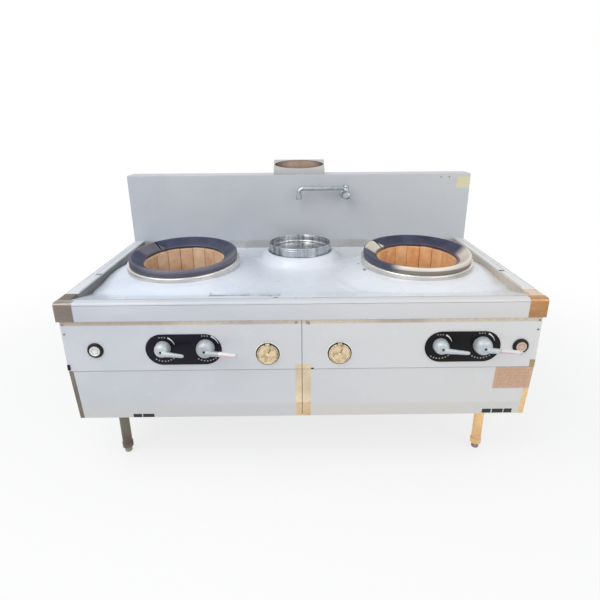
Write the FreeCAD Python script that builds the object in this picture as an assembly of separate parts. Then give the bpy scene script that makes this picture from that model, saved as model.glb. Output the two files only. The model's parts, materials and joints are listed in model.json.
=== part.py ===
import FreeCAD, Part
import math
import os

# Twin wok range with a centre water pan, backsplash, swing faucet and flue outlet.
# Units are millimetres.  +X is the cook's right, +Y runs from the front to the wall, +Z is up.
# The origin is the middle of the floor area that the range covers, levers included.
# Depths named D_ are measured from the face of the front rail.

# --- overall sizes -------------------------------------------------------------------
WIDTH = 1800.0
BODY_DEPTH = 1000.0          # face of the front rail to the back of the backsplash
WORK_HEIGHT = 800.0
SPLASH_HEIGHT = 350.0
SPLASH_DEPTH = 105.0

# --- sheet metal and clearances ------------------------------------------------------
TOP_SHEET = 1.5
PANEL_SHEET = 1.2
FREE_GAP = 0.4               # between pieces that move past each other
SHAFT_GAP = 0.08             # radial running clearance of a stem in its bore
HOLE_GAP = 1.5               # radial room around a stem or pipe in a sheet
SCREW_GAP = 0.2

# --- worktop -------------------------------------------------------------------------
RAIL_HEIGHT = 76.0
RAIL_NOSE_RADIUS = 12.0
RAIL_TOP_WIDTH = 33.0
CORNER_LENGTH = 97.0
CURB_WIDTH = 50.0
RETURN_WIDTH = 32.0
DECK_DROP = 43.0
APRON_END = 200.0
DOME_RISE = 45.0
DOME_BASE_RADIUS = 375.0
DOME_TOP_RADIUS = 252.0
DOME_BLEND = 24.0            # radial width of the soft foot and shoulder of a dome
DOME_BLEND_RISE = 5.0

# --- wok stations --------------------------------------------------------------------
WOK_SPACING = 1044.0
D_WOK = 440.0
RING_TILT = 3.5              # degrees, the rear of the ring stands higher
RING_RIM_HEIGHT = 64.0       # middle of the ring's rim above the working height
RING_RADIUS = 236.0
RING_WALL = 28.0
RING_SLOPE_RADIUS = 177.0
RING_SLOPE_DROP = 27.0
RING_LIP = 10.0
RING_EDGE = 4.0
RING_THICKNESS = 12.0
RING_SEAT_RADIUS = 216.0
RING_SLOT = 4.0
RING_SLOT_ANGLE = 139.0      # degrees from +X, where the cast ring is split
COLLAR_RADIUS = 246.0
COLLAR_SHEET = 2.0
COLLAR_FLANGE = 28.0
SHELL_RADIUS = 214.0
SHELL_FLANGE = 26.0
SHELL_DEPTH = 320.0          # from the dome's top down to the floor of the chamber
BRICK_COUNT = 18
BRICK_INNER_RADIUS = 170.0
BRICK_JOINT = 1.2
BRICK_TOP_GAP = 3.0
HEARTH_THICKNESS = 18.0
HEARTH_HOLE_RADIUS = 96.0

# --- burners and air -----------------------------------------------------------------
BURNER_RADIUS = 88.0
BURNER_HEIGHT = 46.0
BURNER_DISH = 10.0
BURNER_PORT_RADIUS = 5.0
BURNER_PORT_COUNT = 12
BURNER_PORT_CIRCLE = 62.0
AIR_PIPE_RADIUS = 38.0
AIR_PIPE_WALL = 2.0
AIR_PIPE_HEIGHT = 362.0
AIR_NECK_RISE = 56.0         # foot of the burner's neck above the middle of the air pipe
D_BLOWER = 785.0
BLOWER_RADIUS = 118.0
BLOWER_WIDTH = 96.0
BLOWER_WALL = 2.0
BLOWER_THROAT = 30.0
BLOWER_INLET_RADIUS = 48.0
IMPELLER_RADIUS = 92.0
IMPELLER_HUB_RADIUS = 56.0
IMPELLER_BLADES = 16
IMPELLER_WIDTH = 70.0
IMPELLER_DISC = 2.5
IMPELLER_BLADE = 2.0
IMPELLER_BOSS_RADIUS = 14.0
MOTOR_RADIUS = 58.0
MOTOR_LENGTH = 120.0
MOTOR_SHAFT_RADIUS = 6.0
MOTOR_FOOT = 70.0

# --- centre water pan ----------------------------------------------------------------
D_PAN = 685.0
PAN_RADIUS = 150.0
PAN_WALL = 1.5
PAN_STAND = 40.0             # rim above the dome
PAN_DEPTH = 38.0
PAN_SKIRT = 30.0             # stretch of the wall that reaches down into the deck
PAN_FLANGE = 6.0
PAN_RIM_RADIUS = 3.0
PAN_DOME_RISE = 48.0
PAN_DOME_BASE = 215.0
PAN_DOME_TOP = 168.0
PAN_DOME_BLEND = 12.0

# --- cabinet -------------------------------------------------------------------------
PANEL_INSET = 11.0           # side panels behind the ends of the rail
PANEL_SETBACK = 4.0
FOLD_DROP = 280.0            # seam between upper and lower front panels, below the working height
PANEL_BOTTOM = 294.0
LOWER_SETBACK = 6.0
LOWER_LEAN = 20.0            # the lower panels lean back by this much
BACK_PANEL_INSET = 45.0      # back panel in front of the rear edge
REAR_COVER_BOTTOM = 660.0
SEAM = 2.0
POST = 40.0
POST_WALL = 2.0
D_REAR_BAR = 850.0
LEG_SPREAD = 1580.0
D_FRONT_LEG = 190.0
D_REAR_LEG = 810.0
LEG_RADIUS = 21.0
LEG_WALL = 1.5
LEG_COLLAR_RADIUS = 23.5
LEG_COLLAR_HEIGHT = 26.0
LEG_PLATE = 90.0
LEG_PLATE_THICKNESS = 4.0
FOOT_HEIGHT = 26.0
FOOT_RADIUS = 16.0
FOOT_SOLE_RADIUS = 13.0
FOOT_STEM_RADIUS = 6.0
FOOT_STEM = 34.0
FOOT_CHAMFER = 4.0

# --- controls ------------------------------------------------------------------------
PLATE_DROP = 53.0            # from the foot of the rail to the top of the control plates
PLATE_LENGTH = 285.0
PLATE_WIDTH = 126.0
PLATE_THICKNESS = 3.0
X_LEFT_PLATE = -443.0
X_RIGHT_PLATE = 604.0
X_LEFT_PILOT = -518.0        # stems of the short pilot levers and the long main levers
X_LEFT_MAIN = -359.0
X_RIGHT_PILOT = 518.0
X_RIGHT_MAIN = 674.0
CAP_RISE = 10.0              # lever caps above the middle of the plate
PILOT_CAP_RADIUS = 29.0
MAIN_CAP_RADIUS = 34.0
CAP_HEIGHT = 40.0
CAP_SKIRT = 14.0
LEVER_REACH = 68.0           # tips of the lever arms in front of the face of the rail
PILOT_ARM = 91.0             # axis of the stem to the tip of the arm
MAIN_ARM = 127.0
ARM_DROP = 3.0               # tip of the arm below the axis of the stem
ARM_ROOT_DROP = 4.0
ARM_ROOT_LIFT = 28.0         # middle of the arm's root in front of the plate
ARM_ROOT_RADIUS = 9.0
ARM_TIP_RADIUS = 6.0
CAP_SCREW_RADIUS = 5.0
CAP_SCREW_DEPTH = 6.0
STEM_RADIUS = 6.0
STEM_LENGTH = 34.0
VALVE_RADIUS = 17.0
VALVE_LENGTH = 52.0
VALVE_NUT = 12.0
X_LEFT_BUTTON = -773.0
X_RIGHT_BUTTON = 823.0
BEZEL_RADIUS = 30.0
BEZEL_FRONT = 8.0
BEZEL_WALL = 9.0
BEZEL_BARREL_RADIUS = 23.0
BEZEL_BARREL = 44.0
BUTTON_RADIUS = 20.0
BUTTON_PROUD = 3.0
BUTTON_LENGTH = 20.0
PORT_HEIGHT = 585.0
X_LEFT_PORT = -129.0
X_RIGHT_PORT = 142.0
PORT_RADIUS = 45.0
PORT_RIM_HEIGHT = 4.0
PORT_HOLE_RADIUS = 33.0
PORT_CUTOUT_RADIUS = 38.0    # hole in the panel behind the rim
PORT_COVER_RADIUS = 41.0
PORT_COVER_SHEET = 2.0
PORT_DISH = 2.5              # depth of the hollow in the cover's face
PORT_DISH_RADIUS = 30.0
PORT_PIN_RADIUS = 1.6
PORT_PIN_RISE = 42.5         # hinge pin above the middle of the port
PORT_KNUCKLE_RADIUS = 3.2
PORT_KNUCKLE = 16.0
PORT_LUG = 3.5
PORT_HUB_RADIUS = 6.0
PORT_HUB_HEIGHT = 5.0
PORT_TAB = 10.0
PORT_TAB_HEIGHT = 6.0

# --- gas, water and power ------------------------------------------------------------
MANIFOLD_RADIUS = 16.62      # one-inch pipe thread
MANIFOLD_WALL = 3.2
X_GAS_INLET = 830.0
INLET_STUB = 35.0            # free end of an inlet pipe behind its collar
INLET_COLLAR = 8.0
INLET_COLLAR_STEP = 4.5      # collar radius beyond the pipe
FEED_RADIUS = 10.48          # half-inch pipe thread
PILOT_TUBE_RADIUS = 4.0
FEED_HEIGHT = 452.0
PILOT_TUBE_DROP = 34.0
WATER_RADIUS = 10.48         # half-inch pipe thread
WATER_WALL = 2.6
WATER_INLET_HEIGHT = 540.0
WATER_HEAD = 18.0            # pipe above the middle of the faucet
WATER_INSET = 25.0           # water pipe in front of the rear edge
POWER_BOX = (170.0, 62.0, 110.0)
X_POWER_BOX = -260.0
POWER_BOX_HEIGHT = 400.0
GLAND_RADIUS = 12.0
GLAND_BORE = 5.0
GLAND_LENGTH = 14.0
GLAND_STAND = 16.0

# --- backsplash, faucet and flue -----------------------------------------------------
X_FAUCET = 240.0
FAUCET_DROP = 98.0           # from the top of the backsplash to the faucet body
FAUCET_STAND = 60.0          # spout axis in front of the backsplash
FAUCET_FLANGE_RADIUS = 27.0
FAUCET_FLANGE = 5.0
FAUCET_BODY_RADIUS = 18.0
FAUCET_BODY_LENGTH = 78.0
FAUCET_KNOB_RADIUS = 19.5
FAUCET_KNOB_LENGTH = 24.0
FAUCET_RISER_RADIUS = 11.0
FAUCET_RISER = 16.0          # top of the body to the axis of the spout
SPOUT_RADIUS = 12.0
SPOUT_WALL = 1.5
SPOUT_REACH = 243.0
SPOUT_NUT_RADIUS = 15.0
SPOUT_NUT = 30.0
SPOUT_DROP = 56.0
SPOUT_TIP_RADIUS = 15.0
SPOUT_TIP = 24.0
SPOUT_BEND = 22.0
FLUE_WIDTH = 266.0
FLUE_DEPTH = 96.0
FLUE_FRONT_HEIGHT = 29.0
FLUE_REAR_HEIGHT = 69.0
FLUE_MARGIN = 4.5
RISER_WIDTH = 244.0
RISER_DEPTH = 84.0
CHAMBER_WIDTH = 450.0
D_CHAMBER = 465.0
CHAMBER_DEPTH = 150.0
DUCT_WIDTH = 110.0
DUCT_HEIGHT = 62.0
D_DUCT = 560.0
DUCT_DROP = 50.0

# --- fasteners -----------------------------------------------------------------------
SCREW_HEAD_RADIUS = 4.5
SCREW_HEAD = 2.2
SCREW_RADIUS = 2.0
SCREW_LENGTH = 10.0
SCREW_INSET = 10.0

# --- places worked out from the sizes above ------------------------------------------
Y_FRONT = -(BODY_DEPTH - LEVER_REACH) / 2.0
HALF = WIDTH / 2.0
DECK_Z = WORK_HEIGHT - DECK_DROP
DOME_Z = DECK_Z + DOME_RISE
PAN_DOME_Z = DECK_Z + PAN_DOME_RISE
FRAME_TOP = DECK_Z - TOP_SHEET
D_SPLASH = BODY_DEPTH - SPLASH_DEPTH
SPLASH_Z = WORK_HEIGHT + SPLASH_HEIGHT
RAIL_Z = WORK_HEIGHT - RAIL_HEIGHT
FOLD_Z = WORK_HEIGHT - FOLD_DROP
SIDE_X = HALF - PANEL_INSET
INNER_X = SIDE_X - PANEL_SHEET
PAN_SHEET_Z = PANEL_BOTTOM + PANEL_SHEET
RING_Z = WORK_HEIGHT + RING_RIM_HEIGHT
HEARTH_Z = DOME_Z - SHELL_DEPTH
SHELL_TOP = (RING_Z - RING_SLOPE_DROP - RING_LIP - BRICK_TOP_GAP
             - SHELL_RADIUS * math.sin(math.radians(RING_TILT)))
CONTROL_HEIGHT = RAIL_Z - PLATE_DROP - PLATE_WIDTH / 2.0
CAP_Z = CONTROL_HEIGHT + CAP_RISE
D_BACK_PANEL = BODY_DEPTH - BACK_PANEL_INSET
D_REAR_POST = D_BACK_PANEL - POST
D_WATER = BODY_DEPTH - WATER_INSET
FAUCET_HEIGHT = SPLASH_Z - FAUCET_DROP
D_PLATE = PANEL_SETBACK - PLATE_THICKNESS
D_MANIFOLD = PANEL_SETBACK + PANEL_SHEET + VALVE_NUT + VALVE_LENGTH + MANIFOLD_RADIUS
SPOUT_Z = FAUCET_HEIGHT + FAUCET_BODY_RADIUS + FAUCET_RISER
NUT_Z = SPOUT_Z - SPOUT_NUT / 2.0
WOK_SIDES = (("left", -1), ("right", 1))

X_AXIS = FreeCAD.Vector(1, 0, 0)
Y_AXIS = FreeCAD.Vector(0, 1, 0)
Z_AXIS = FreeCAD.Vector(0, 0, 1)


# --- shape helpers -------------------------------------------------------------------
def at(x, depth, z):
    """Point given by its depth behind the face of the front rail."""
    return FreeCAD.Vector(x, Y_FRONT + depth, z)


def block(x0, x1, d0, d1, z0, z1):
    """Box between two corners, depths measured from the rail."""
    return Part.makeBox(x1 - x0, d1 - d0, z1 - z0, at(x0, d0, z0))


def rod(start, axis, radius, length):
    return Part.makeCylinder(radius, length, start, axis)


def tube(start, axis, radius, wall, length):
    return rod(start, axis, radius, length).cut(rod(start, axis, radius - wall, length))


def ring(start, axis, outer, inner, length):
    return rod(start, axis, outer, length).cut(rod(start, axis, inner, length))


def fuse(pieces):
    """One body from pieces that touch or overlap."""
    joined = pieces[0]
    for piece in pieces[1:]:
        joined = joined.fuse(piece)
    return joined.removeSplitter()


def profile_x(points, x0, x1):
    """Prism along X from an outline of (depth, z) points."""
    corners = [at(x0, depth, z) for depth, z in points]
    face = Part.Face(Part.makePolygon(corners + corners[:1]))
    return face.extrude(FreeCAD.Vector(x1 - x0, 0, 0))


def profile_y(points, d0, d1):
    """Prism along Y from an outline of (x, z) points."""
    corners = [at(x, d0, z) for x, z in points]
    face = Part.Face(Part.makePolygon(corners + corners[:1]))
    return face.extrude(FreeCAD.Vector(0, d1 - d0, 0))


def turned(points, centre=None):
    """Solid of revolution about Z from an outline of (radius, z) points."""
    corners = [FreeCAD.Vector(radius, 0, z) for radius, z in points]
    face = Part.Face(Part.makePolygon(corners + corners[:1]))
    solid = face.revolve(FreeCAD.Vector(0, 0, 0), Z_AXIS, 360)
    solid = Part.Solid(solid) if solid.ShapeType != "Solid" else solid
    if centre is not None:
        solid.translate(centre)
    return solid


def pipe_run(points, radius):
    """Round bar that follows straight runs, with a ball at every corner."""
    pieces = []
    for start, end in zip(points, points[1:]):
        run = end.sub(start)
        pieces.append(rod(start, run, radius, run.Length))
    for corner in points[1:-1]:
        pieces.append(Part.makeSphere(radius, corner))
    return fuse(pieces)


def box_bar(x0, x1, d0, d1, z0, z1):
    """Square tube whose hollow runs along its longest side."""
    sizes = (x1 - x0, d1 - d0, z1 - z0)
    long_side = sizes.index(max(sizes))
    shrink = [0.0 if i == long_side else POST_WALL for i in range(3)]
    hollow = block(x0 + shrink[0], x1 - shrink[0], d0 + shrink[1], d1 - shrink[1],
                   z0 + shrink[2], z1 - shrink[2])
    return block(x0, x1, d0, d1, z0, z1).cut(hollow)


def stadium(x, z, length, width, d0, d1):
    """Flat plate with round ends, standing in the plane of the front panel."""
    straight = (length - width) / 2.0
    body = block(x - straight, x + straight, d0, d1, z - width / 2.0, z + width / 2.0)
    ends = [rod(at(x + side * straight, d0, z), Y_AXIS, width / 2.0, d1 - d0) for side in (-1, 1)]
    return fuse([body] + ends)


def wok_centre(side, z):
    return at(side * WOK_SPACING / 2.0, D_WOK, z)


def tilted(solid, side):
    """Carry a solid of revolution from the origin to the tilted seat of a wok station."""
    placed = solid.copy()
    placed.rotate(FreeCAD.Vector(0, 0, 0), X_AXIS, RING_TILT)
    placed.translate(wok_centre(side, RING_Z))
    return placed


# --- worktop -------------------------------------------------------------------------
def dome(centre, base_radius, top_radius, rise, blend, blend_rise):
    """Raised boss of the deck, with a soft foot and shoulder."""
    outline = [(0.0, -rise), (base_radius + blend, -rise), (base_radius + blend, 0.0),
               (base_radius - blend, blend_rise), (top_radius + blend, rise - blend_rise),
               (top_radius, rise), (0.0, rise)]
    return turned(outline, centre)


def dome_set(lowered):
    """All bosses of the deck, lowered by the sheet for their undersides."""
    domes = [dome(wok_centre(side, DECK_Z - lowered), DOME_BASE_RADIUS, DOME_TOP_RADIUS,
                  DOME_RISE, DOME_BLEND, DOME_BLEND_RISE) for name, side in WOK_SIDES]
    domes.append(dome(at(0, D_PAN, DECK_Z - lowered), PAN_DOME_BASE, PAN_DOME_TOP,
                      PAN_DOME_RISE, PAN_DOME_BLEND, DOME_BLEND_RISE))
    return domes


def make_deck():
    inner = HALF - CURB_WIDTH
    top_line = [(RAIL_TOP_WIDTH, WORK_HEIGHT), (APRON_END, DECK_Z), (D_SPLASH, DECK_Z)]
    under_line = [(depth, z - TOP_SHEET) for depth, z in reversed(top_line)]
    sheet = profile_x(top_line + under_line, -inner, inner)
    below_top = profile_x(under_line + [(RAIL_TOP_WIDTH, HEARTH_Z), (D_SPLASH, HEARTH_Z)],
                          -inner, inner)
    room = block(-inner, inner, RAIL_TOP_WIDTH, D_SPLASH, DECK_Z - PAN_DOME_RISE,
                 WORK_HEIGHT + DOME_RISE)
    bosses = fuse([sheet] + dome_set(0.0)).common(room)
    bosses = bosses.cut(below_top)
    for hollow in dome_set(TOP_SHEET):
        bosses = bosses.cut(hollow)
    for name, side in WOK_SIDES:
        bosses = bosses.cut(rod(wok_centre(side, HEARTH_Z), Z_AXIS, SHELL_RADIUS + HOLE_GAP,
                                WORK_HEIGHT))
    pan_hole = rod(at(0, D_PAN, HEARTH_Z), Z_AXIS, PAN_RADIUS + HOLE_GAP, WORK_HEIGHT)
    return bosses.cut(pan_hole)


def make_front_rail():
    nose = [(RAIL_NOSE_RADIUS - RAIL_NOSE_RADIUS * math.cos(math.radians(angle)),
             WORK_HEIGHT - RAIL_NOSE_RADIUS + RAIL_NOSE_RADIUS * math.sin(math.radians(angle)))
            for angle in range(0, 91, 15)]
    outer = [(0.0, RAIL_Z)] + nose + [(RAIL_TOP_WIDTH, WORK_HEIGHT)]
    inner = [(RAIL_TOP_WIDTH, WORK_HEIGHT - TOP_SHEET)]
    inner += [(TOP_SHEET + (depth - 0.0) * (RAIL_NOSE_RADIUS - TOP_SHEET) / RAIL_NOSE_RADIUS,
               WORK_HEIGHT - RAIL_NOSE_RADIUS + (z - WORK_HEIGHT + RAIL_NOSE_RADIUS)
               * (RAIL_NOSE_RADIUS - TOP_SHEET) / RAIL_NOSE_RADIUS) for depth, z in reversed(nose)]
    inner += [(TOP_SHEET, RAIL_Z + TOP_SHEET), (RETURN_WIDTH, RAIL_Z + TOP_SHEET),
              (RETURN_WIDTH, RAIL_Z)]
    pieces = [profile_x(outer + inner, -HALF, HALF)]
    curb = HALF - CURB_WIDTH
    for side in (-1, 1):
        low, high = sorted((side * curb, side * HALF))
        pieces.append(block(low, high, RAIL_NOSE_RADIUS, CORNER_LENGTH,
                            WORK_HEIGHT - TOP_SHEET, WORK_HEIGHT))
        low, high = sorted((side * (HALF - TOP_SHEET), side * HALF))
        pieces.append(block(low, high, RAIL_NOSE_RADIUS, CORNER_LENGTH, RAIL_Z, WORK_HEIGHT))
        low, high = sorted((side * curb, side * (curb + TOP_SHEET)))
        pieces.append(block(low, high, RAIL_TOP_WIDTH, CORNER_LENGTH, FRAME_TOP, WORK_HEIGHT))
    return fuse(pieces)


def make_side_rail(side):
    curb = HALF - CURB_WIDTH
    outline = [(HALF, RAIL_Z), (HALF, WORK_HEIGHT), (curb, WORK_HEIGHT), (curb, FRAME_TOP),
               (curb + TOP_SHEET, FRAME_TOP), (curb + TOP_SHEET, WORK_HEIGHT - TOP_SHEET),
               (HALF - TOP_SHEET, WORK_HEIGHT - TOP_SHEET), (HALF - TOP_SHEET, RAIL_Z + TOP_SHEET),
               (INNER_X, RAIL_Z + TOP_SHEET), (INNER_X, RAIL_Z)]
    return profile_y([(side * x, z) for x, z in outline], CORNER_LENGTH, D_SPLASH)


# --- backsplash and flue -------------------------------------------------------------
def make_splash_front():
    skin = block(-HALF, HALF, D_SPLASH, D_SPLASH + PANEL_SHEET, FRAME_TOP, SPLASH_Z)
    cap = block(-HALF, HALF, D_SPLASH, BODY_DEPTH, SPLASH_Z - PANEL_SHEET, SPLASH_Z)
    ends = []
    for side in (-1, 1):
        low, high = sorted((side * (HALF - PANEL_SHEET), side * HALF))
        ends.append(block(low, high, D_SPLASH, BODY_DEPTH, RAIL_Z, SPLASH_Z))
    body = fuse([skin, cap] + ends)
    body = body.cut(riser_block(HOLE_GAP))
    inlet = rod(at(X_FAUCET, D_SPLASH - FAUCET_FLANGE, FAUCET_HEIGHT), Y_AXIS,
                WATER_RADIUS + HOLE_GAP, SPLASH_DEPTH / 2.0)
    return body.cut(inlet)


def make_splash_rear():
    inner = HALF - PANEL_SHEET
    upper = block(-inner, inner, BODY_DEPTH - PANEL_SHEET, BODY_DEPTH, RAIL_Z,
                  SPLASH_Z - PANEL_SHEET)
    lower = block(-INNER_X, INNER_X, BODY_DEPTH - PANEL_SHEET, BODY_DEPTH, REAR_COVER_BOTTOM, RAIL_Z)
    return fuse([upper, lower])


def flue_middle():
    return D_SPLASH + SPLASH_DEPTH / 2.0


def riser_block(grown):
    """Outer form of the flue riser, grown all round."""
    half_x = RISER_WIDTH / 2.0 + grown
    half_y = RISER_DEPTH / 2.0 + grown
    return block(-half_x, half_x, flue_middle() - half_y, flue_middle() + half_y,
                 FRAME_TOP - CHAMBER_DEPTH, SPLASH_Z)


def chamber_window(d0, d1, shrunk):
    """Passage between the pan chamber and the riser."""
    half_x = RISER_WIDTH / 2.0 - shrunk
    return block(-half_x, half_x, d0, d1, FRAME_TOP - CHAMBER_DEPTH + shrunk,
                 FRAME_TOP - shrunk)


def make_flue_riser():
    half_x = RISER_WIDTH / 2.0 - TOP_SHEET
    half_y = RISER_DEPTH / 2.0 - TOP_SHEET
    hollow = block(-half_x, half_x, flue_middle() - half_y, flue_middle() + half_y,
                   FRAME_TOP - CHAMBER_DEPTH + TOP_SHEET, SPLASH_Z)
    front = flue_middle() - RISER_DEPTH / 2.0
    return riser_block(0.0).cut(hollow).cut(chamber_window(front - TOP_SHEET, front + RISER_DEPTH / 2.0,
                                                           4 * TOP_SHEET))


def make_flue_outlet():
    front = flue_middle() - FLUE_DEPTH / 2.0
    back = front + FLUE_DEPTH
    half_x = FLUE_WIDTH / 2.0
    outer = profile_x([(front, SPLASH_Z), (front, SPLASH_Z + FLUE_FRONT_HEIGHT),
                       (back, SPLASH_Z + FLUE_REAR_HEIGHT), (back, SPLASH_Z)], -half_x, half_x)
    inner_front = front + TOP_SHEET
    inner_back = back - TOP_SHEET
    low_z = SPLASH_Z - TOP_SHEET
    inner = profile_x([(inner_front, low_z), (inner_front, SPLASH_Z + FLUE_FRONT_HEIGHT - TOP_SHEET),
                       (inner_back, SPLASH_Z + FLUE_REAR_HEIGHT - TOP_SHEET), (inner_back, low_z)],
                      -half_x + TOP_SHEET, half_x - TOP_SHEET)
    mouth = Part.Ellipse(at(0, flue_middle(), SPLASH_Z), half_x - FLUE_MARGIN,
                         FLUE_DEPTH / 2.0 - FLUE_MARGIN)
    cutter = Part.Face(Part.Wire(mouth.toShape())).extrude(FreeCAD.Vector(0, 0, 2 * FLUE_REAR_HEIGHT))
    return outer.cut(inner).cut(cutter)


def duct_block(side, grown):
    """Outer form of the duct between a wok chamber and the pan chamber, grown all round."""
    top = FRAME_TOP - DUCT_DROP + grown
    low, high = sorted((side * CHAMBER_WIDTH / 2.0, side * WOK_SPACING / 2.0))
    return block(low, high, D_DUCT - DUCT_WIDTH / 2.0 - grown, D_DUCT + DUCT_WIDTH / 2.0 + grown,
                 top - DUCT_HEIGHT - 2 * grown, top)


def duct_window(side):
    """Clear way through the duct and on into the chambers at both of its ends."""
    low, high = sorted((side * (CHAMBER_WIDTH / 2.0 - 2 * TOP_SHEET), side * WOK_SPACING / 2.0))
    top = FRAME_TOP - DUCT_DROP - TOP_SHEET
    return block(low, high, D_DUCT - DUCT_WIDTH / 2.0 + TOP_SHEET,
                 D_DUCT + DUCT_WIDTH / 2.0 - TOP_SHEET, top - DUCT_HEIGHT + 2 * TOP_SHEET, top)


def shell_core(side, radius):
    return rod(wok_centre(side, HEARTH_Z), Z_AXIS, radius, SHELL_DEPTH)


def make_flue_ducts():
    ducts = []
    for name, side in WOK_SIDES:
        ducts.append(duct_block(side, 0.0).cut(duct_window(side)).cut(shell_core(side, SHELL_RADIUS)))
    return Part.makeCompound(ducts)


def make_flue_chamber():
    half_x = CHAMBER_WIDTH / 2.0
    back = flue_middle() - RISER_DEPTH / 2.0
    outer = block(-half_x, half_x, D_CHAMBER, back, FRAME_TOP - CHAMBER_DEPTH, FRAME_TOP)
    inner = block(-half_x + TOP_SHEET, half_x - TOP_SHEET, D_CHAMBER + TOP_SHEET, back - TOP_SHEET,
                  FRAME_TOP - CHAMBER_DEPTH + TOP_SHEET, FRAME_TOP + TOP_SHEET)
    box = outer.cut(inner)
    box = box.cut(chamber_window(back - 2 * TOP_SHEET, back + TOP_SHEET, 4 * TOP_SHEET))
    skin_room = block(-HALF, HALF, D_SPLASH, D_SPLASH + PANEL_SHEET, FRAME_TOP - TOP_SHEET, FRAME_TOP)
    box = box.cut(skin_room)
    for name, side in WOK_SIDES:
        box = box.cut(duct_window(side))
    return box


# --- cabinet -------------------------------------------------------------------------
def front_holes():
    """Everything that passes through the upper front panels."""
    holes = []
    for x in (X_LEFT_PILOT, X_LEFT_MAIN, X_RIGHT_PILOT, X_RIGHT_MAIN):
        holes.append(rod(at(x, -RAIL_HEIGHT, CAP_Z), Y_AXIS, STEM_RADIUS + HOLE_GAP,
                         2 * RAIL_HEIGHT))
    for button_x in (X_LEFT_BUTTON, X_RIGHT_BUTTON):
        holes.append(rod(at(button_x, -RAIL_HEIGHT, CONTROL_HEIGHT), Y_AXIS,
                         BEZEL_BARREL_RADIUS + SCREW_GAP, 2 * RAIL_HEIGHT))
    for port_x in (X_LEFT_PORT, X_RIGHT_PORT):
        holes.append(rod(at(port_x, -RAIL_HEIGHT, PORT_HEIGHT), Y_AXIS, PORT_CUTOUT_RADIUS,
                         2 * RAIL_HEIGHT))
    return holes


def screw_places():
    """Middle of every screw head on the upper front panels, as (x, z)."""
    places = []
    top = RAIL_Z - SCREW_INSET
    for side in (-1, 1):
        for x in (SEAM / 2.0 + 2 * SCREW_INSET, SIDE_X - SCREW_INSET):
            places.append((side * x, top))
        places.append((side * (SIDE_X - SCREW_INSET), top - RAIL_HEIGHT / 2.0))
    return places


def make_upper_panel(side):
    low, high = sorted((side * SEAM / 2.0, side * SIDE_X))
    skin = block(low, high, PANEL_SETBACK, PANEL_SETBACK + PANEL_SHEET, FOLD_Z, RAIL_Z)
    low_lip = block(low, high, PANEL_SETBACK, RETURN_WIDTH, FOLD_Z, FOLD_Z + PANEL_SHEET)
    panel = fuse([skin, low_lip])
    for hole in front_holes():
        panel = panel.cut(hole)
    for x, z in screw_places():
        panel = panel.cut(rod(at(x, 0, z), Y_AXIS, SCREW_RADIUS + SCREW_GAP, RETURN_WIDTH))
    return panel


def make_lower_panel(side):
    low, high = sorted((side * SEAM / 2.0, side * SIDE_X))
    bottom_depth = LOWER_SETBACK + LOWER_LEAN
    outline = [(LOWER_SETBACK, FOLD_Z), (bottom_depth, PANEL_BOTTOM),
               (bottom_depth + RETURN_WIDTH, PANEL_BOTTOM),
               (bottom_depth + RETURN_WIDTH, PAN_SHEET_Z),
               (bottom_depth + PANEL_SHEET, PAN_SHEET_Z), (LOWER_SETBACK + PANEL_SHEET, FOLD_Z)]
    return profile_x(outline, low, high)


def make_side_panel(side):
    bottom_depth = LOWER_SETBACK + LOWER_LEAN + PANEL_SHEET
    front = PANEL_SETBACK + PANEL_SHEET
    outline = [(front, RAIL_Z), (BODY_DEPTH, RAIL_Z), (BODY_DEPTH, PANEL_BOTTOM),
               (bottom_depth, PANEL_BOTTOM), (bottom_depth, PAN_SHEET_Z),
               (LOWER_SETBACK + PANEL_SHEET, FOLD_Z), (front, FOLD_Z)]
    low, high = sorted((side * INNER_X, side * SIDE_X))
    panel = profile_x(outline, low, high)
    for name, seam_side in WOK_SIDES:
        panel = panel.cut(make_lower_panel(seam_side)).cut(make_upper_panel(seam_side))
    return panel


def make_back_panel():
    panel = block(-INNER_X, INNER_X, D_BACK_PANEL, D_BACK_PANEL + PANEL_SHEET, PAN_SHEET_Z,
                  FRAME_TOP)
    panel = panel.cut(riser_block(HOLE_GAP))
    panel = panel.cut(rod(at(X_GAS_INLET, D_REAR_POST, CAP_Z), Y_AXIS,
                          MANIFOLD_RADIUS + HOLE_GAP, BODY_DEPTH))
    gland = rod(at(X_POWER_BOX, D_REAR_POST, POWER_BOX_HEIGHT + POWER_BOX[2] / 2.0), Y_AXIS,
                GLAND_RADIUS, BODY_DEPTH)
    return panel.cut(gland)


def make_bottom_pan():
    front = LOWER_SETBACK + LOWER_LEAN + RETURN_WIDTH
    return block(-INNER_X, INNER_X, front, D_BACK_PANEL + PANEL_SHEET, PANEL_BOTTOM, PAN_SHEET_Z)


def make_frame_posts():
    posts = []
    for side in (-1, 1):
        low, high = sorted((side * (INNER_X - POST), side * INNER_X))
        for depth in (RETURN_WIDTH, D_REAR_POST):
            posts.append(box_bar(low, high, depth, depth + POST, PAN_SHEET_Z, FRAME_TOP))
    return Part.makeCompound(posts)


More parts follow.
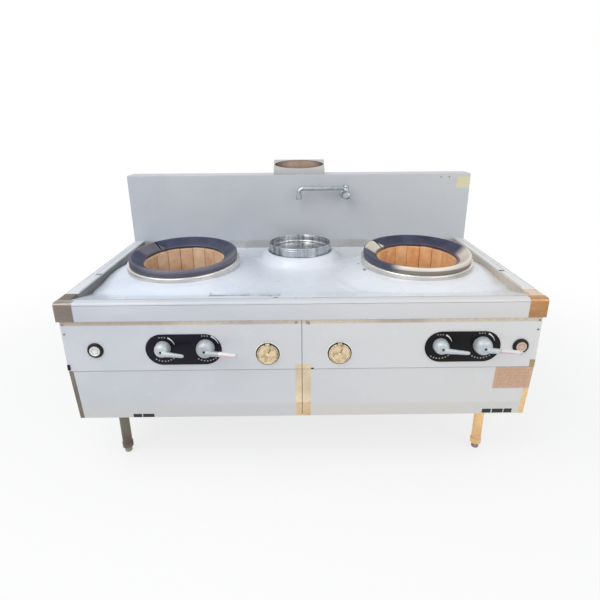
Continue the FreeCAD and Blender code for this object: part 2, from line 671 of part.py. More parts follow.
def make_frame_bars():
    """Long bars front and rear, and the cross bars over the legs and along the sides."""
    inner = INNER_X - POST
    low_z = PAN_SHEET_Z
    high_z = FRAME_TOP - POST
    bars = []
    for depth, z in ((RETURN_WIDTH, low_z), (D_REAR_POST, low_z), (RETURN_WIDTH, high_z)):
        bars.append(box_bar(-inner, inner, depth, depth + POST, z, z + POST))
    for side in (-1, 1):
        low, high = sorted((side * CHAMBER_WIDTH / 2.0, side * inner))
        bars.append(box_bar(low, high, D_REAR_BAR, D_REAR_BAR + POST, high_z, FRAME_TOP))
        low, high = sorted((side * inner, side * INNER_X))
        bars.append(box_bar(low, high, RETURN_WIDTH + POST, D_REAR_POST, high_z, FRAME_TOP))
        low, high = sorted((side * (LEG_SPREAD - POST) / 2.0, side * (LEG_SPREAD + POST) / 2.0))
        bars.append(box_bar(low, high, RETURN_WIDTH + POST, D_REAR_POST, low_z, low_z + POST))
    return Part.makeCompound(bars)


def leg_places():
    return [(side_name + "_" + end, side * LEG_SPREAD / 2.0, depth)
            for side_name, side in WOK_SIDES
            for end, depth in (("front", D_FRONT_LEG), ("rear", D_REAR_LEG))]


def make_legs():
    legs = []
    low = FOOT_HEIGHT + FREE_GAP
    for name, x, depth in leg_places():
        plate = block(x - LEG_PLATE / 2.0, x + LEG_PLATE / 2.0, depth - LEG_PLATE / 2.0,
                      depth + LEG_PLATE / 2.0, PANEL_BOTTOM - LEG_PLATE_THICKNESS, PANEL_BOTTOM)
        post = tube(at(x, depth, low), Z_AXIS, LEG_RADIUS, LEG_WALL, PANEL_BOTTOM - low)
        collar = ring(at(x, depth, low), Z_AXIS, LEG_COLLAR_RADIUS, LEG_RADIUS, LEG_COLLAR_HEIGHT)
        nut = ring(at(x, depth, low), Z_AXIS, LEG_RADIUS, FOOT_STEM_RADIUS + SHAFT_GAP,
                   LEG_COLLAR_HEIGHT)
        legs.append(fuse([plate, post, collar, nut]))
    return Part.makeCompound(legs)


def make_foot(x, depth):
    pad = [(0.0, 0.0), (FOOT_SOLE_RADIUS, 0.0), (FOOT_RADIUS, FOOT_CHAMFER),
           (FOOT_RADIUS, FOOT_HEIGHT - FOOT_CHAMFER), (FOOT_SOLE_RADIUS, FOOT_HEIGHT),
           (FOOT_STEM_RADIUS, FOOT_HEIGHT), (FOOT_STEM_RADIUS, FOOT_HEIGHT + FOOT_STEM),
           (0.0, FOOT_HEIGHT + FOOT_STEM)]
    return turned(pad, at(x, depth, 0.0))


# --- wok stations --------------------------------------------------------------------
def make_wok_ring(side):
    slope_z = -RING_SLOPE_DROP
    lip_z = slope_z - RING_LIP
    outline = [(RING_RADIUS - RING_EDGE, 0.0), (RING_RADIUS, -RING_EDGE),
               (RING_RADIUS, -RING_WALL), (RING_SEAT_RADIUS, -RING_WALL),
               (RING_SLOPE_RADIUS + RING_THICKNESS, lip_z), (RING_SLOPE_RADIUS, lip_z),
               (RING_SLOPE_RADIUS, slope_z), (RING_RADIUS - 2 * RING_EDGE, 0.0)]
    casting = turned(outline)
    slot = Part.makeBox(RING_RADIUS, RING_SLOT, 4 * RING_WALL,
                        FreeCAD.Vector(RING_SLOPE_RADIUS - RING_EDGE, -RING_SLOT / 2.0, -2 * RING_WALL))
    slot.rotate(FreeCAD.Vector(0, 0, 0), Z_AXIS, RING_SLOT_ANGLE)
    return tilted(casting.cut(slot), side)


def cut_above_seat(solid, side, drop):
    """Trim a solid to the tilted plane that lies a given drop below the ring's rim."""
    reach = 3 * COLLAR_RADIUS
    above = Part.makeBox(reach, reach, reach, FreeCAD.Vector(-reach / 2.0, -reach / 2.0, -drop))
    return solid.cut(tilted(above, side))


def make_ring_collars():
    """Upright collars with an inward flange that carries the tilted wok rings."""
    collars = []
    seat_drop = RING_WALL + FREE_GAP
    height = 4 * RING_WALL
    for name, side in WOK_SIDES:
        foot = wok_centre(side, DOME_Z)
        outer = cut_above_seat(rod(foot, Z_AXIS, COLLAR_RADIUS, height), side, seat_drop)
        room = cut_above_seat(rod(foot, Z_AXIS, COLLAR_RADIUS - COLLAR_SHEET, height), side,
                              seat_drop + COLLAR_SHEET)
        hole = rod(foot, Z_AXIS, COLLAR_RADIUS - COLLAR_FLANGE, height)
        collars.append(outer.cut(room).cut(hole))
    return Part.makeCompound(collars)


def make_furnace_shell(side):
    wall = tube(wok_centre(side, HEARTH_Z), Z_AXIS, SHELL_RADIUS, TOP_SHEET, SHELL_TOP - HEARTH_Z)
    floor = ring(wok_centre(side, HEARTH_Z), Z_AXIS, SHELL_RADIUS, AIR_PIPE_RADIUS + FREE_GAP,
                 TOP_SHEET)
    flange = ring(wok_centre(side, DOME_Z - 2 * TOP_SHEET), Z_AXIS, SHELL_RADIUS + SHELL_FLANGE,
                  SHELL_RADIUS - TOP_SHEET, TOP_SHEET)
    return fuse([wall, floor, flange]).cut(duct_window(side))


def make_brick_ring(side):
    """Wedge bricks with sloping tops under the wok ring, and the hearth they stand on."""
    outer = SHELL_RADIUS - TOP_SHEET
    base = HEARTH_Z + TOP_SHEET
    hearth = ring(wok_centre(side, base), Z_AXIS, outer, HEARTH_HOLE_RADIUS, HEARTH_THICKNESS)
    wall = ring(wok_centre(side, base + HEARTH_THICKNESS), Z_AXIS, outer, BRICK_INNER_RADIUS,
                RING_Z - base - HEARTH_THICKNESS)
    wall = cut_above_seat(wall, side, RING_SLOPE_DROP + RING_LIP + BRICK_TOP_GAP)
    wall = wall.cut(duct_window(side))
    for index in range(BRICK_COUNT):
        joint = Part.makeBox(outer + BRICK_JOINT, BRICK_JOINT, SHELL_DEPTH + DOME_RISE,
                             FreeCAD.Vector(0, -BRICK_JOINT / 2.0, 0))
        joint.rotate(FreeCAD.Vector(0, 0, 0), Z_AXIS, (index + 0.5) * 360.0 / BRICK_COUNT)
        joint.translate(wok_centre(side, base + HEARTH_THICKNESS))
        wall = wall.cut(joint)
    return Part.makeCompound([hearth] + wall.Solids)


def make_burner(side):
    """Cast burner head on its neck, with a dished top and a circle of flame ports."""
    base = HEARTH_Z + TOP_SHEET
    head = rod(wok_centre(side, base), Z_AXIS, BURNER_RADIUS, BURNER_HEIGHT)
    dish = turned([(0.0, -BURNER_DISH), (BURNER_RADIUS - BURNER_DISH, 0.0), (0.0, 0.0)],
                  wok_centre(side, base + BURNER_HEIGHT))
    air_room = rod(wok_centre(side, base), Z_AXIS, BURNER_RADIUS - BURNER_DISH,
                   BURNER_HEIGHT - 2 * BURNER_DISH)
    neck_outer = AIR_PIPE_RADIUS
    neck = ring(wok_centre(side, AIR_PIPE_HEIGHT + AIR_NECK_RISE), Z_AXIS, neck_outer,
                neck_outer - AIR_PIPE_WALL, base - AIR_PIPE_HEIGHT - AIR_NECK_RISE)
    floor = ring(wok_centre(side, base), Z_AXIS, BURNER_RADIUS, neck_outer - AIR_PIPE_WALL,
                 AIR_PIPE_WALL)
    body = fuse([head.cut(dish).cut(air_room), floor, neck])
    for index in range(BURNER_PORT_COUNT):
        angle = 2 * math.pi * index / BURNER_PORT_COUNT
        centre = wok_centre(side, base + BURNER_HEIGHT / 2.0)
        centre = centre.add(FreeCAD.Vector(BURNER_PORT_CIRCLE * math.cos(angle),
                                           BURNER_PORT_CIRCLE * math.sin(angle), 0))
        body = body.cut(rod(centre, Z_AXIS, BURNER_PORT_RADIUS, BURNER_HEIGHT))
    return body


def make_air_pipe(side):
    """Elbow from the throat of the blower to the neck of the burner."""
    x = side * WOK_SPACING / 2.0
    back = D_BLOWER - BLOWER_RADIUS - BLOWER_THROAT
    corner = at(x, D_WOK, AIR_PIPE_HEIGHT)
    top = at(x, D_WOK, AIR_PIPE_HEIGHT + AIR_NECK_RISE)
    route = [at(x, back, AIR_PIPE_HEIGHT), corner, top]
    return pipe_run(route, AIR_PIPE_RADIUS).cut(pipe_run(route, AIR_PIPE_RADIUS - AIR_PIPE_WALL))


def blower_centre_z():
    return AIR_PIPE_HEIGHT - AIR_PIPE_RADIUS - AIR_PIPE_WALL + BLOWER_RADIUS


def blower_faces(side):
    """X of the housing's low and high faces."""
    x = side * WOK_SPACING / 2.0
    return x - BLOWER_WIDTH / 2.0, x + BLOWER_WIDTH / 2.0


def blower_solid(low, high, shrunk):
    """Drum and forward throat of a blower, shrunk all round."""
    z = blower_centre_z()
    radius = BLOWER_RADIUS - shrunk
    drum = rod(at(low + shrunk, D_BLOWER, z), X_AXIS, radius, high - low - 2 * shrunk)
    front = D_BLOWER - BLOWER_RADIUS - BLOWER_THROAT + (0.0 if shrunk == 0.0 else -shrunk)
    throat = block(low + shrunk, high - shrunk, front, D_BLOWER, z - radius,
                   AIR_PIPE_HEIGHT + AIR_PIPE_RADIUS + AIR_PIPE_WALL - shrunk)
    return fuse([drum, throat])


def make_blower_housing(side):
    low, high = blower_faces(side)
    z = blower_centre_z()
    front = D_BLOWER - BLOWER_RADIUS - BLOWER_THROAT
    x = side * WOK_SPACING / 2.0
    shell = blower_solid(low, high, 0.0).cut(blower_solid(low, high, BLOWER_WALL))
    face = block(low, high, front, front + BLOWER_WALL, z - BLOWER_RADIUS,
                 AIR_PIPE_HEIGHT + AIR_PIPE_RADIUS + AIR_PIPE_WALL)
    face = face.cut(rod(at(x, front, AIR_PIPE_HEIGHT), Y_AXIS, AIR_PIPE_RADIUS - AIR_PIPE_WALL,
                        BLOWER_WALL))
    feet_z = PAN_SHEET_Z
    stand = block(low, high, D_BLOWER - MOTOR_FOOT / 2.0, D_BLOWER + MOTOR_FOOT / 2.0, feet_z,
                  z - BLOWER_RADIUS + BLOWER_WALL)
    stand = stand.cut(blower_solid(low, high, BLOWER_WALL / 2.0))
    body = fuse([shell, face, stand])
    inlet_x = high if side > 0 else low
    body = body.cut(rod(at(inlet_x - BLOWER_WALL, D_BLOWER, z), X_AXIS, BLOWER_INLET_RADIUS,
                        2 * BLOWER_WALL))
    shaft_x = low if side > 0 else high
    return body.cut(rod(at(shaft_x - BLOWER_WALL, D_BLOWER, z), X_AXIS,
                        MOTOR_SHAFT_RADIUS + HOLE_GAP, 2 * BLOWER_WALL))


def make_impeller(side):
    """Radial wheel, its boss and the shaft that reaches into the motor."""
    z = blower_centre_z()
    x = side * WOK_SPACING / 2.0
    low = x - IMPELLER_WIDTH / 2.0
    disc_x = low if side > 0 else x + IMPELLER_WIDTH / 2.0 - IMPELLER_DISC
    disc = rod(at(disc_x, D_BLOWER, z), X_AXIS, IMPELLER_RADIUS, IMPELLER_DISC)
    boss = rod(at(low, D_BLOWER, z), X_AXIS, IMPELLER_BOSS_RADIUS, IMPELLER_WIDTH / 2.0)
    if side < 0:
        boss = rod(at(x, D_BLOWER, z), X_AXIS, IMPELLER_BOSS_RADIUS, IMPELLER_WIDTH / 2.0)
    rim_x = x + IMPELLER_WIDTH / 2.0 - IMPELLER_DISC if side > 0 else low
    rim = ring(at(rim_x, D_BLOWER, z), X_AXIS, IMPELLER_RADIUS, IMPELLER_HUB_RADIUS, IMPELLER_DISC)
    blades = []
    for index in range(IMPELLER_BLADES):
        blade = Part.makeBox(IMPELLER_WIDTH, IMPELLER_RADIUS - IMPELLER_HUB_RADIUS, IMPELLER_BLADE,
                             at(low, D_BLOWER + IMPELLER_HUB_RADIUS, z - IMPELLER_BLADE / 2.0))
        blade.rotate(at(low, D_BLOWER, z), X_AXIS, index * 360.0 / IMPELLER_BLADES)
        blades.append(blade)
    reach = (BLOWER_WIDTH - IMPELLER_WIDTH) / 2.0 + MOTOR_LENGTH / 2.0
    shaft_start = low - reach if side > 0 else x + IMPELLER_WIDTH / 2.0
    shaft = rod(at(shaft_start, D_BLOWER, z), X_AXIS, MOTOR_SHAFT_RADIUS, reach)
    return fuse([disc, boss, rim, shaft] + blades)


def make_motors():
    motors = []
    z = blower_centre_z()
    for name, side in WOK_SIDES:
        low, high = blower_faces(side)
        start = low - MOTOR_LENGTH if side > 0 else high
        can = rod(at(start, D_BLOWER, z), X_AXIS, MOTOR_RADIUS, MOTOR_LENGTH)
        can = can.cut(rod(at(start, D_BLOWER, z), X_AXIS, MOTOR_SHAFT_RADIUS + SHAFT_GAP,
                          MOTOR_LENGTH))
        motors.append(can)
    return Part.makeCompound(motors)


# --- centre water pan ----------------------------------------------------------------
def make_water_pan():
    top = PAN_DOME_Z + PAN_STAND
    floor_top = top - PAN_DEPTH
    low = PAN_DOME_Z - PAN_SKIRT
    wall = tube(at(0, D_PAN, low), Z_AXIS, PAN_RADIUS, PAN_WALL, top - low)
    floor = rod(at(0, D_PAN, floor_top - PAN_WALL), Z_AXIS, PAN_RADIUS - PAN_WALL / 2.0, PAN_WALL)
    flange = ring(at(0, D_PAN, PAN_DOME_Z + FREE_GAP), Z_AXIS, PAN_RADIUS + PAN_FLANGE,
                  PAN_RADIUS - PAN_WALL, PAN_WALL)
    bead = Part.makeTorus(PAN_RADIUS, PAN_RIM_RADIUS, at(0, D_PAN, top - PAN_RIM_RADIUS), Z_AXIS)
    return fuse([wall, floor, flange, bead])


# --- controls ------------------------------------------------------------------------
def make_control_plates():
    plates = []
    for plate_x, stems in ((X_LEFT_PLATE, (X_LEFT_PILOT, X_LEFT_MAIN)),
                           (X_RIGHT_PLATE, (X_RIGHT_PILOT, X_RIGHT_MAIN))):
        plate = stadium(plate_x, CONTROL_HEIGHT, PLATE_LENGTH, PLATE_WIDTH, D_PLATE, PANEL_SETBACK)
        for x in stems:
            plate = plate.cut(rod(at(x, D_PLATE, CAP_Z), Y_AXIS, STEM_RADIUS + HOLE_GAP,
                                  PLATE_THICKNESS))
        plates.append(plate)
    return Part.makeCompound(plates)


def make_lever(x, cap_radius, arm_length):
    """Domed cap with its side arm, and the stem that turns the valve."""
    back = D_PLATE - FREE_GAP
    rise = CAP_HEIGHT - CAP_SKIRT
    outline = [(0.0, 0.0), (cap_radius, 0.0), (cap_radius, CAP_SKIRT)]
    for angle in range(15, 90, 15):
        outline.append((cap_radius * math.cos(math.radians(angle)),
                        CAP_SKIRT + rise * math.sin(math.radians(angle))))
    outline.append((0.0, CAP_HEIGHT))
    cap = turned(outline)
    cap = cap.cut(rod(FreeCAD.Vector(0, 0, CAP_HEIGHT - CAP_SCREW_DEPTH), Z_AXIS, CAP_SCREW_RADIUS,
                      CAP_SCREW_DEPTH))
    cap.rotate(FreeCAD.Vector(0, 0, 0), X_AXIS, 90)
    cap.translate(at(x, back, CAP_Z))
    root = at(x, back - ARM_ROOT_LIFT, CAP_Z - ARM_ROOT_DROP)
    end = at(x + arm_length - ARM_TIP_RADIUS, ARM_TIP_RADIUS - LEVER_REACH, CAP_Z - ARM_DROP)
    run = end.sub(root)
    arm = Part.makeCone(ARM_ROOT_RADIUS, ARM_TIP_RADIUS, run.Length, root, run)
    tip = Part.makeSphere(ARM_TIP_RADIUS, end)
    stem = rod(at(x, back, CAP_Z), Y_AXIS, STEM_RADIUS, STEM_LENGTH)
    return fuse([cap, arm, tip, stem])


def make_valves():
    """Valve bodies between the front panel and the gas manifold."""
    valves = []
    front = PANEL_SETBACK + PANEL_SHEET
    for x in (X_LEFT_PILOT, X_LEFT_MAIN, X_RIGHT_PILOT, X_RIGHT_MAIN):
        nut = rod(at(x, front, CAP_Z), Y_AXIS, VALVE_RADIUS - VALVE_NUT / 3.0, VALVE_NUT)
        body = rod(at(x, front + VALVE_NUT, CAP_Z), Y_AXIS, VALVE_RADIUS, VALVE_LENGTH)
        spigot = rod(at(x, front + VALVE_NUT + VALVE_LENGTH, CAP_Z), Y_AXIS, VALVE_RADIUS / 2.0,
                     MANIFOLD_RADIUS)
        spigot = spigot.cut(manifold_core(MANIFOLD_RADIUS))
        bore = rod(at(x, front, CAP_Z), Y_AXIS, STEM_RADIUS + SHAFT_GAP, STEM_LENGTH + HOLE_GAP)
        valves.append(fuse([nut, body, spigot]).cut(bore))
    return Part.makeCompound(valves)


def manifold_route():
    left_end = X_LEFT_PILOT - 2 * VALVE_RADIUS
    return [at(left_end, D_MANIFOLD, CAP_Z), at(X_GAS_INLET, D_MANIFOLD, CAP_Z),
            at(X_GAS_INLET, BODY_DEPTH, CAP_Z)]


def manifold_core(radius):
    return pipe_run(manifold_route(), radius)


def make_gas_manifold():
    """Supply pipe from the rear inlet along the valves; its left end is capped."""
    start, corner, end = manifold_route()
    bore_start = start.add(FreeCAD.Vector(MANIFOLD_WALL, 0, 0))
    bore = pipe_run([bore_start, corner, end], MANIFOLD_RADIUS - MANIFOLD_WALL)
    collar = rod(at(X_GAS_INLET, BODY_DEPTH - INLET_STUB - INLET_COLLAR, CAP_Z), Y_AXIS,
                 MANIFOLD_RADIUS + INLET_COLLAR_STEP, INLET_COLLAR)
    return fuse([manifold_core(MANIFOLD_RADIUS), collar]).cut(bore)


def feed_route(x, side, drop):
    """Pipe from the underside of a valve to the neck of its burner."""
    valve_d = PANEL_SETBACK + PANEL_SHEET + VALVE_NUT + VALVE_LENGTH / 2.0
    neck_x = side * WOK_SPACING / 2.0
    z = FEED_HEIGHT - drop
    return [at(x, valve_d, CAP_Z - VALVE_RADIUS), at(x, valve_d, z),
            at(neck_x, valve_d, z), at(neck_x, D_WOK - AIR_PIPE_RADIUS, z)]


def make_gas_feeds():
    """Main and pilot pipes of both burners."""
    feeds = []
    for main_x, pilot_x, side in ((X_LEFT_MAIN, X_LEFT_PILOT, -1),
                                  (X_RIGHT_MAIN, X_RIGHT_PILOT, 1)):
        neck = rod(wok_centre(side, AIR_PIPE_HEIGHT), Z_AXIS, AIR_PIPE_RADIUS, SHELL_DEPTH)
        for x, radius, drop in ((main_x, FEED_RADIUS, 0.0),
                                (pilot_x, PILOT_TUBE_RADIUS, PILOT_TUBE_DROP)):
            feed = pipe_run(feed_route(x, side, drop), radius)
            feeds.append(feed.cut(neck))
    return Part.makeCompound(feeds)


def make_bezels():
    bezels = []
    for x in (X_LEFT_BUTTON, X_RIGHT_BUTTON):
        front = PANEL_SETBACK - BEZEL_FRONT
        rim = turned([(0.0, 0.0), (BEZEL_RADIUS, 0.0), (BEZEL_RADIUS, BEZEL_FRONT / 2.0),
                      (BEZEL_RADIUS - BEZEL_FRONT / 2.0, BEZEL_FRONT), (0.0, BEZEL_FRONT)])
        rim.rotate(FreeCAD.Vector(0, 0, 0), X_AXIS, 90)
        rim.translate(at(x, PANEL_SETBACK, CONTROL_HEIGHT))
        barrel = rod(at(x, PANEL_SETBACK, CONTROL_HEIGHT), Y_AXIS, BEZEL_BARREL_RADIUS, BEZEL_BARREL)
        bore = rod(at(x, front, CONTROL_HEIGHT), Y_AXIS, BUTTON_RADIUS + FREE_GAP,
                   BEZEL_FRONT + BEZEL_BARREL - BEZEL_WALL)
        bezels.append(fuse([rim, barrel]).cut(bore))
    return Part.makeCompound(bezels)


def make_button(x):
    front = PANEL_SETBACK - BEZEL_FRONT - BUTTON_PROUD
    cap = turned([(0.0, 0.0), (BUTTON_RADIUS, 0.0), (BUTTON_RADIUS, BUTTON_LENGTH - BUTTON_PROUD / 2.0),
                  (BUTTON_RADIUS - BUTTON_PROUD / 2.0, BUTTON_LENGTH), (0.0, BUTTON_LENGTH)])
    cap.rotate(FreeCAD.Vector(0, 0, 0), X_AXIS, 90)
    cap.translate(at(x, front + BUTTON_LENGTH, CONTROL_HEIGHT))
    return cap


def port_pin_place(x):
    """Middle of the hinge pin of a lighting-port cover."""
    depth = PANEL_SETBACK - PORT_RIM_HEIGHT - FREE_GAP - PORT_KNUCKLE_RADIUS
    return at(x, depth, PORT_HEIGHT + PORT_PIN_RISE)


def make_port_rings():
    """Flat rims round the lighting ports, each with two lugs and a hinge pin at the top."""
    rims = []
    for x in (X_LEFT_PORT, X_RIGHT_PORT):
        rim = ring(at(x, PANEL_SETBACK - PORT_RIM_HEIGHT, PORT_HEIGHT), Y_AXIS, PORT_RADIUS,
                   PORT_HOLE_RADIUS, PORT_RIM_HEIGHT)
        pin = port_pin_place(x)
        pieces = [rim]
        for side in (-1, 1):
            near = side * (PORT_KNUCKLE / 2.0 + FREE_GAP)
            low, high = sorted((near, near + side * PORT_LUG))
            lug = rod(pin.add(FreeCAD.Vector(low, 0, 0)), X_AXIS, PORT_KNUCKLE_RADIUS, high - low)
            foot = Part.makeBox(high - low, PORT_KNUCKLE_RADIUS + FREE_GAP + PORT_RIM_HEIGHT,
                                2 * PORT_KNUCKLE_RADIUS,
                                pin.add(FreeCAD.Vector(low, 0, -PORT_KNUCKLE_RADIUS)))
            pieces += [lug, foot]
        half_pin = PORT_KNUCKLE / 2.0 + FREE_GAP + PORT_LUG
        pieces.append(rod(pin.sub(FreeCAD.Vector(half_pin, 0, 0)), X_AXIS, PORT_PIN_RADIUS,
                          2 * half_pin))
        rims.append(fuse(pieces))
    return Part.makeCompound(rims)


def make_port_cover(x):
    """Dished disc that hangs from its pin, with a hub, a rib and a finger tab."""
    pin = port_pin_place(x)
    back = PANEL_SETBACK - PORT_RIM_HEIGHT - FREE_GAP
    front = back - PORT_COVER_SHEET
    disc = rod(at(x, front, PORT_HEIGHT), Y_AXIS, PORT_COVER_RADIUS, PORT_COVER_SHEET)
    lug_room = PORT_KNUCKLE / 2.0 + PORT_LUG + 2 * FREE_GAP
    lug_low = PORT_HEIGHT + PORT_PIN_RISE - PORT_KNUCKLE_RADIUS - 2 * FREE_GAP
    for side in (-1, 1):
        low, high = sorted((side * PORT_KNUCKLE / 2.0, side * lug_room))
        disc = disc.cut(block(x + low, x + high, front, back, lug_low, PORT_HEIGHT + PORT_RADIUS))
    bowl = turned([(0.0, 0.0), (PORT_DISH_RADIUS + PORT_DISH, 0.0), (PORT_DISH_RADIUS, PORT_DISH),
                   (0.0, PORT_DISH)])
    bowl.rotate(FreeCAD.Vector(0, 0, 0), X_AXIS, -90)
    bowl.translate(at(x, back, PORT_HEIGHT))
    floor = bowl.cut(bowl.translated(FreeCAD.Vector(0, -PORT_COVER_SHEET, 0)))
    disc = disc.cut(bowl.translated(FreeCAD.Vector(0, -PORT_COVER_SHEET, 0)))
    hub = rod(at(x, front - PORT_HUB_HEIGHT, PORT_HEIGHT), Y_AXIS, PORT_HUB_RADIUS,
              PORT_HUB_HEIGHT + PORT_COVER_SHEET + PORT_DISH)
    tab_low = PORT_HEIGHT - PORT_COVER_RADIUS + PORT_TAB_HEIGHT / 2.0
    tab = block(x - PORT_TAB / 2.0, x + PORT_TAB / 2.0, front - PORT_HUB_HEIGHT, back, tab_low,
                tab_low + PORT_TAB_HEIGHT)
    knuckle = rod(pin.sub(FreeCAD.Vector(PORT_KNUCKLE / 2.0, 0, 0)), X_AXIS, PORT_KNUCKLE_RADIUS,
                  PORT_KNUCKLE)
    body = fuse([disc, floor, hub, tab, knuckle])
    return body.cut(rod(pin.sub(FreeCAD.Vector(PORT_RADIUS, 0, 0)), X_AXIS,
                        PORT_PIN_RADIUS + SHAFT_GAP, 2 * PORT_RADIUS))


# --- water and power -----------------------------------------------------------------
def make_faucet_body():
    spout_d = D_SPLASH - FAUCET_STAND
    flange = rod(at(X_FAUCET, D_SPLASH - FAUCET_FLANGE, FAUCET_HEIGHT), Y_AXIS,
                 FAUCET_FLANGE_RADIUS, FAUCET_FLANGE)
    body = rod(at(X_FAUCET, D_SPLASH - FAUCET_BODY_LENGTH, FAUCET_HEIGHT), Y_AXIS,
               FAUCET_BODY_RADIUS, FAUCET_BODY_LENGTH)
    inlet = rod(at(X_FAUCET, D_SPLASH, FAUCET_HEIGHT), Y_AXIS, WATER_RADIUS, D_WATER - D_SPLASH)
    inlet = inlet.cut(rod(at(X_FAUCET, D_WATER, WATER_INLET_HEIGHT), Z_AXIS, WATER_RADIUS,
                          FAUCET_HEIGHT))
    riser = rod(at(X_FAUCET, spout_d, FAUCET_HEIGHT), Z_AXIS, FAUCET_RISER_RADIUS,
                NUT_Z - FAUCET_HEIGHT - FREE_GAP)
    swivel = rod(at(X_FAUCET, spout_d, FAUCET_HEIGHT), Z_AXIS, FAUCET_RISER_RADIUS / 2.0,
                 SPOUT_Z - FAUCET_HEIGHT)
    stem_bore = rod(at(X_FAUCET, D_SPLASH - FAUCET_BODY_LENGTH, FAUCET_HEIGHT), Y_AXIS,
                    STEM_RADIUS + SHAFT_GAP, FAUCET_KNOB_LENGTH)
    return fuse([flange, body, inlet, riser, swivel]).cut(stem_bore)


def make_faucet_knob():
    front = D_SPLASH - FAUCET_BODY_LENGTH - FREE_GAP
    cap = turned([(0.0, 0.0), (FAUCET_BODY_RADIUS, 0.0), (FAUCET_KNOB_RADIUS, FAUCET_KNOB_LENGTH / 4.0),
                  (FAUCET_KNOB_RADIUS, FAUCET_KNOB_LENGTH * 3 / 4.0),
                  (FAUCET_BODY_RADIUS, FAUCET_KNOB_LENGTH), (0.0, FAUCET_KNOB_LENGTH)])
    cap.rotate(FreeCAD.Vector(0, 0, 0), X_AXIS, 90)
    cap.translate(at(X_FAUCET, front, FAUCET_HEIGHT))
    stem = rod(at(X_FAUCET, front, FAUCET_HEIGHT), Y_AXIS, STEM_RADIUS, FAUCET_KNOB_LENGTH / 2.0)
    return fuse([cap, stem])


def make_faucet_spout():
    """Swivel nut, level tube and turned-down outlet."""
    spout_d = D_SPLASH - FAUCET_STAND
    nut = rod(at(X_FAUCET, spout_d, NUT_Z), Z_AXIS, SPOUT_NUT_RADIUS, SPOUT_NUT)
    tip_x = X_FAUCET - SPOUT_REACH
    route = [at(X_FAUCET, spout_d, SPOUT_Z), at(tip_x, spout_d, SPOUT_Z),
             at(tip_x, spout_d, SPOUT_Z - SPOUT_DROP)]
    outlet = rod(at(tip_x, spout_d, SPOUT_Z - SPOUT_DROP), Z_AXIS, SPOUT_TIP_RADIUS, SPOUT_TIP)
    outer = fuse([pipe_run(route, SPOUT_RADIUS), nut, outlet])
    body = outer.cut(pipe_run(route, SPOUT_RADIUS - SPOUT_WALL))
    swivel = rod(at(X_FAUCET, spout_d, NUT_Z), Z_AXIS, FAUCET_RISER_RADIUS / 2.0 + SHAFT_GAP,
                 SPOUT_Z - NUT_Z + HOLE_GAP)
    return body.cut(swivel)


def make_water_pipe():
    """Supply pipe inside the backsplash, open at its lower end and capped above the faucet."""
    low = WATER_INLET_HEIGHT
    length = FAUCET_HEIGHT + WATER_HEAD - low
    pipe = rod(at(X_FAUCET, D_WATER, low), Z_AXIS, WATER_RADIUS, length)
    collar = rod(at(X_FAUCET, D_WATER, low + INLET_STUB), Z_AXIS, WATER_RADIUS + INLET_COLLAR_STEP,
                 INLET_COLLAR)
    bore = rod(at(X_FAUCET, D_WATER, low), Z_AXIS, WATER_RADIUS - WATER_WALL, length - WATER_WALL)
    return fuse([pipe, collar]).cut(bore)


def make_power_box():
    """Switch box inside the back panel, with the gland for its lead."""
    length, depth, height = POWER_BOX
    body = block(X_POWER_BOX - length / 2.0, X_POWER_BOX + length / 2.0, D_BACK_PANEL - depth,
                 D_BACK_PANEL, POWER_BOX_HEIGHT, POWER_BOX_HEIGHT + height)
    gland_z = POWER_BOX_HEIGHT + height / 2.0
    gland = rod(at(X_POWER_BOX, D_BACK_PANEL, gland_z), Y_AXIS, GLAND_RADIUS - SCREW_GAP,
                GLAND_STAND)
    bore = rod(at(X_POWER_BOX, D_BACK_PANEL - GLAND_LENGTH, gland_z), Y_AXIS, GLAND_BORE,
               GLAND_LENGTH + GLAND_STAND)
    return fuse([body, gland]).cut(bore)


def make_screws():
    screws = []
    for x, z in screw_places():
        head = turned([(0.0, 0.0), (SCREW_HEAD_RADIUS, 0.0),
                       (SCREW_HEAD_RADIUS - SCREW_HEAD / 2.0, SCREW_HEAD), (0.0, SCREW_HEAD)])
        head.rotate(FreeCAD.Vector(0, 0, 0), X_AXIS, 90)
        head.translate(at(x, PANEL_SETBACK, z))
        shank = rod(at(x, PANEL_SETBACK, z), Y_AXIS, SCREW_RADIUS, SCREW_LENGTH)
        screws.append(fuse([head, shank]))
    return Part.makeCompound(screws)


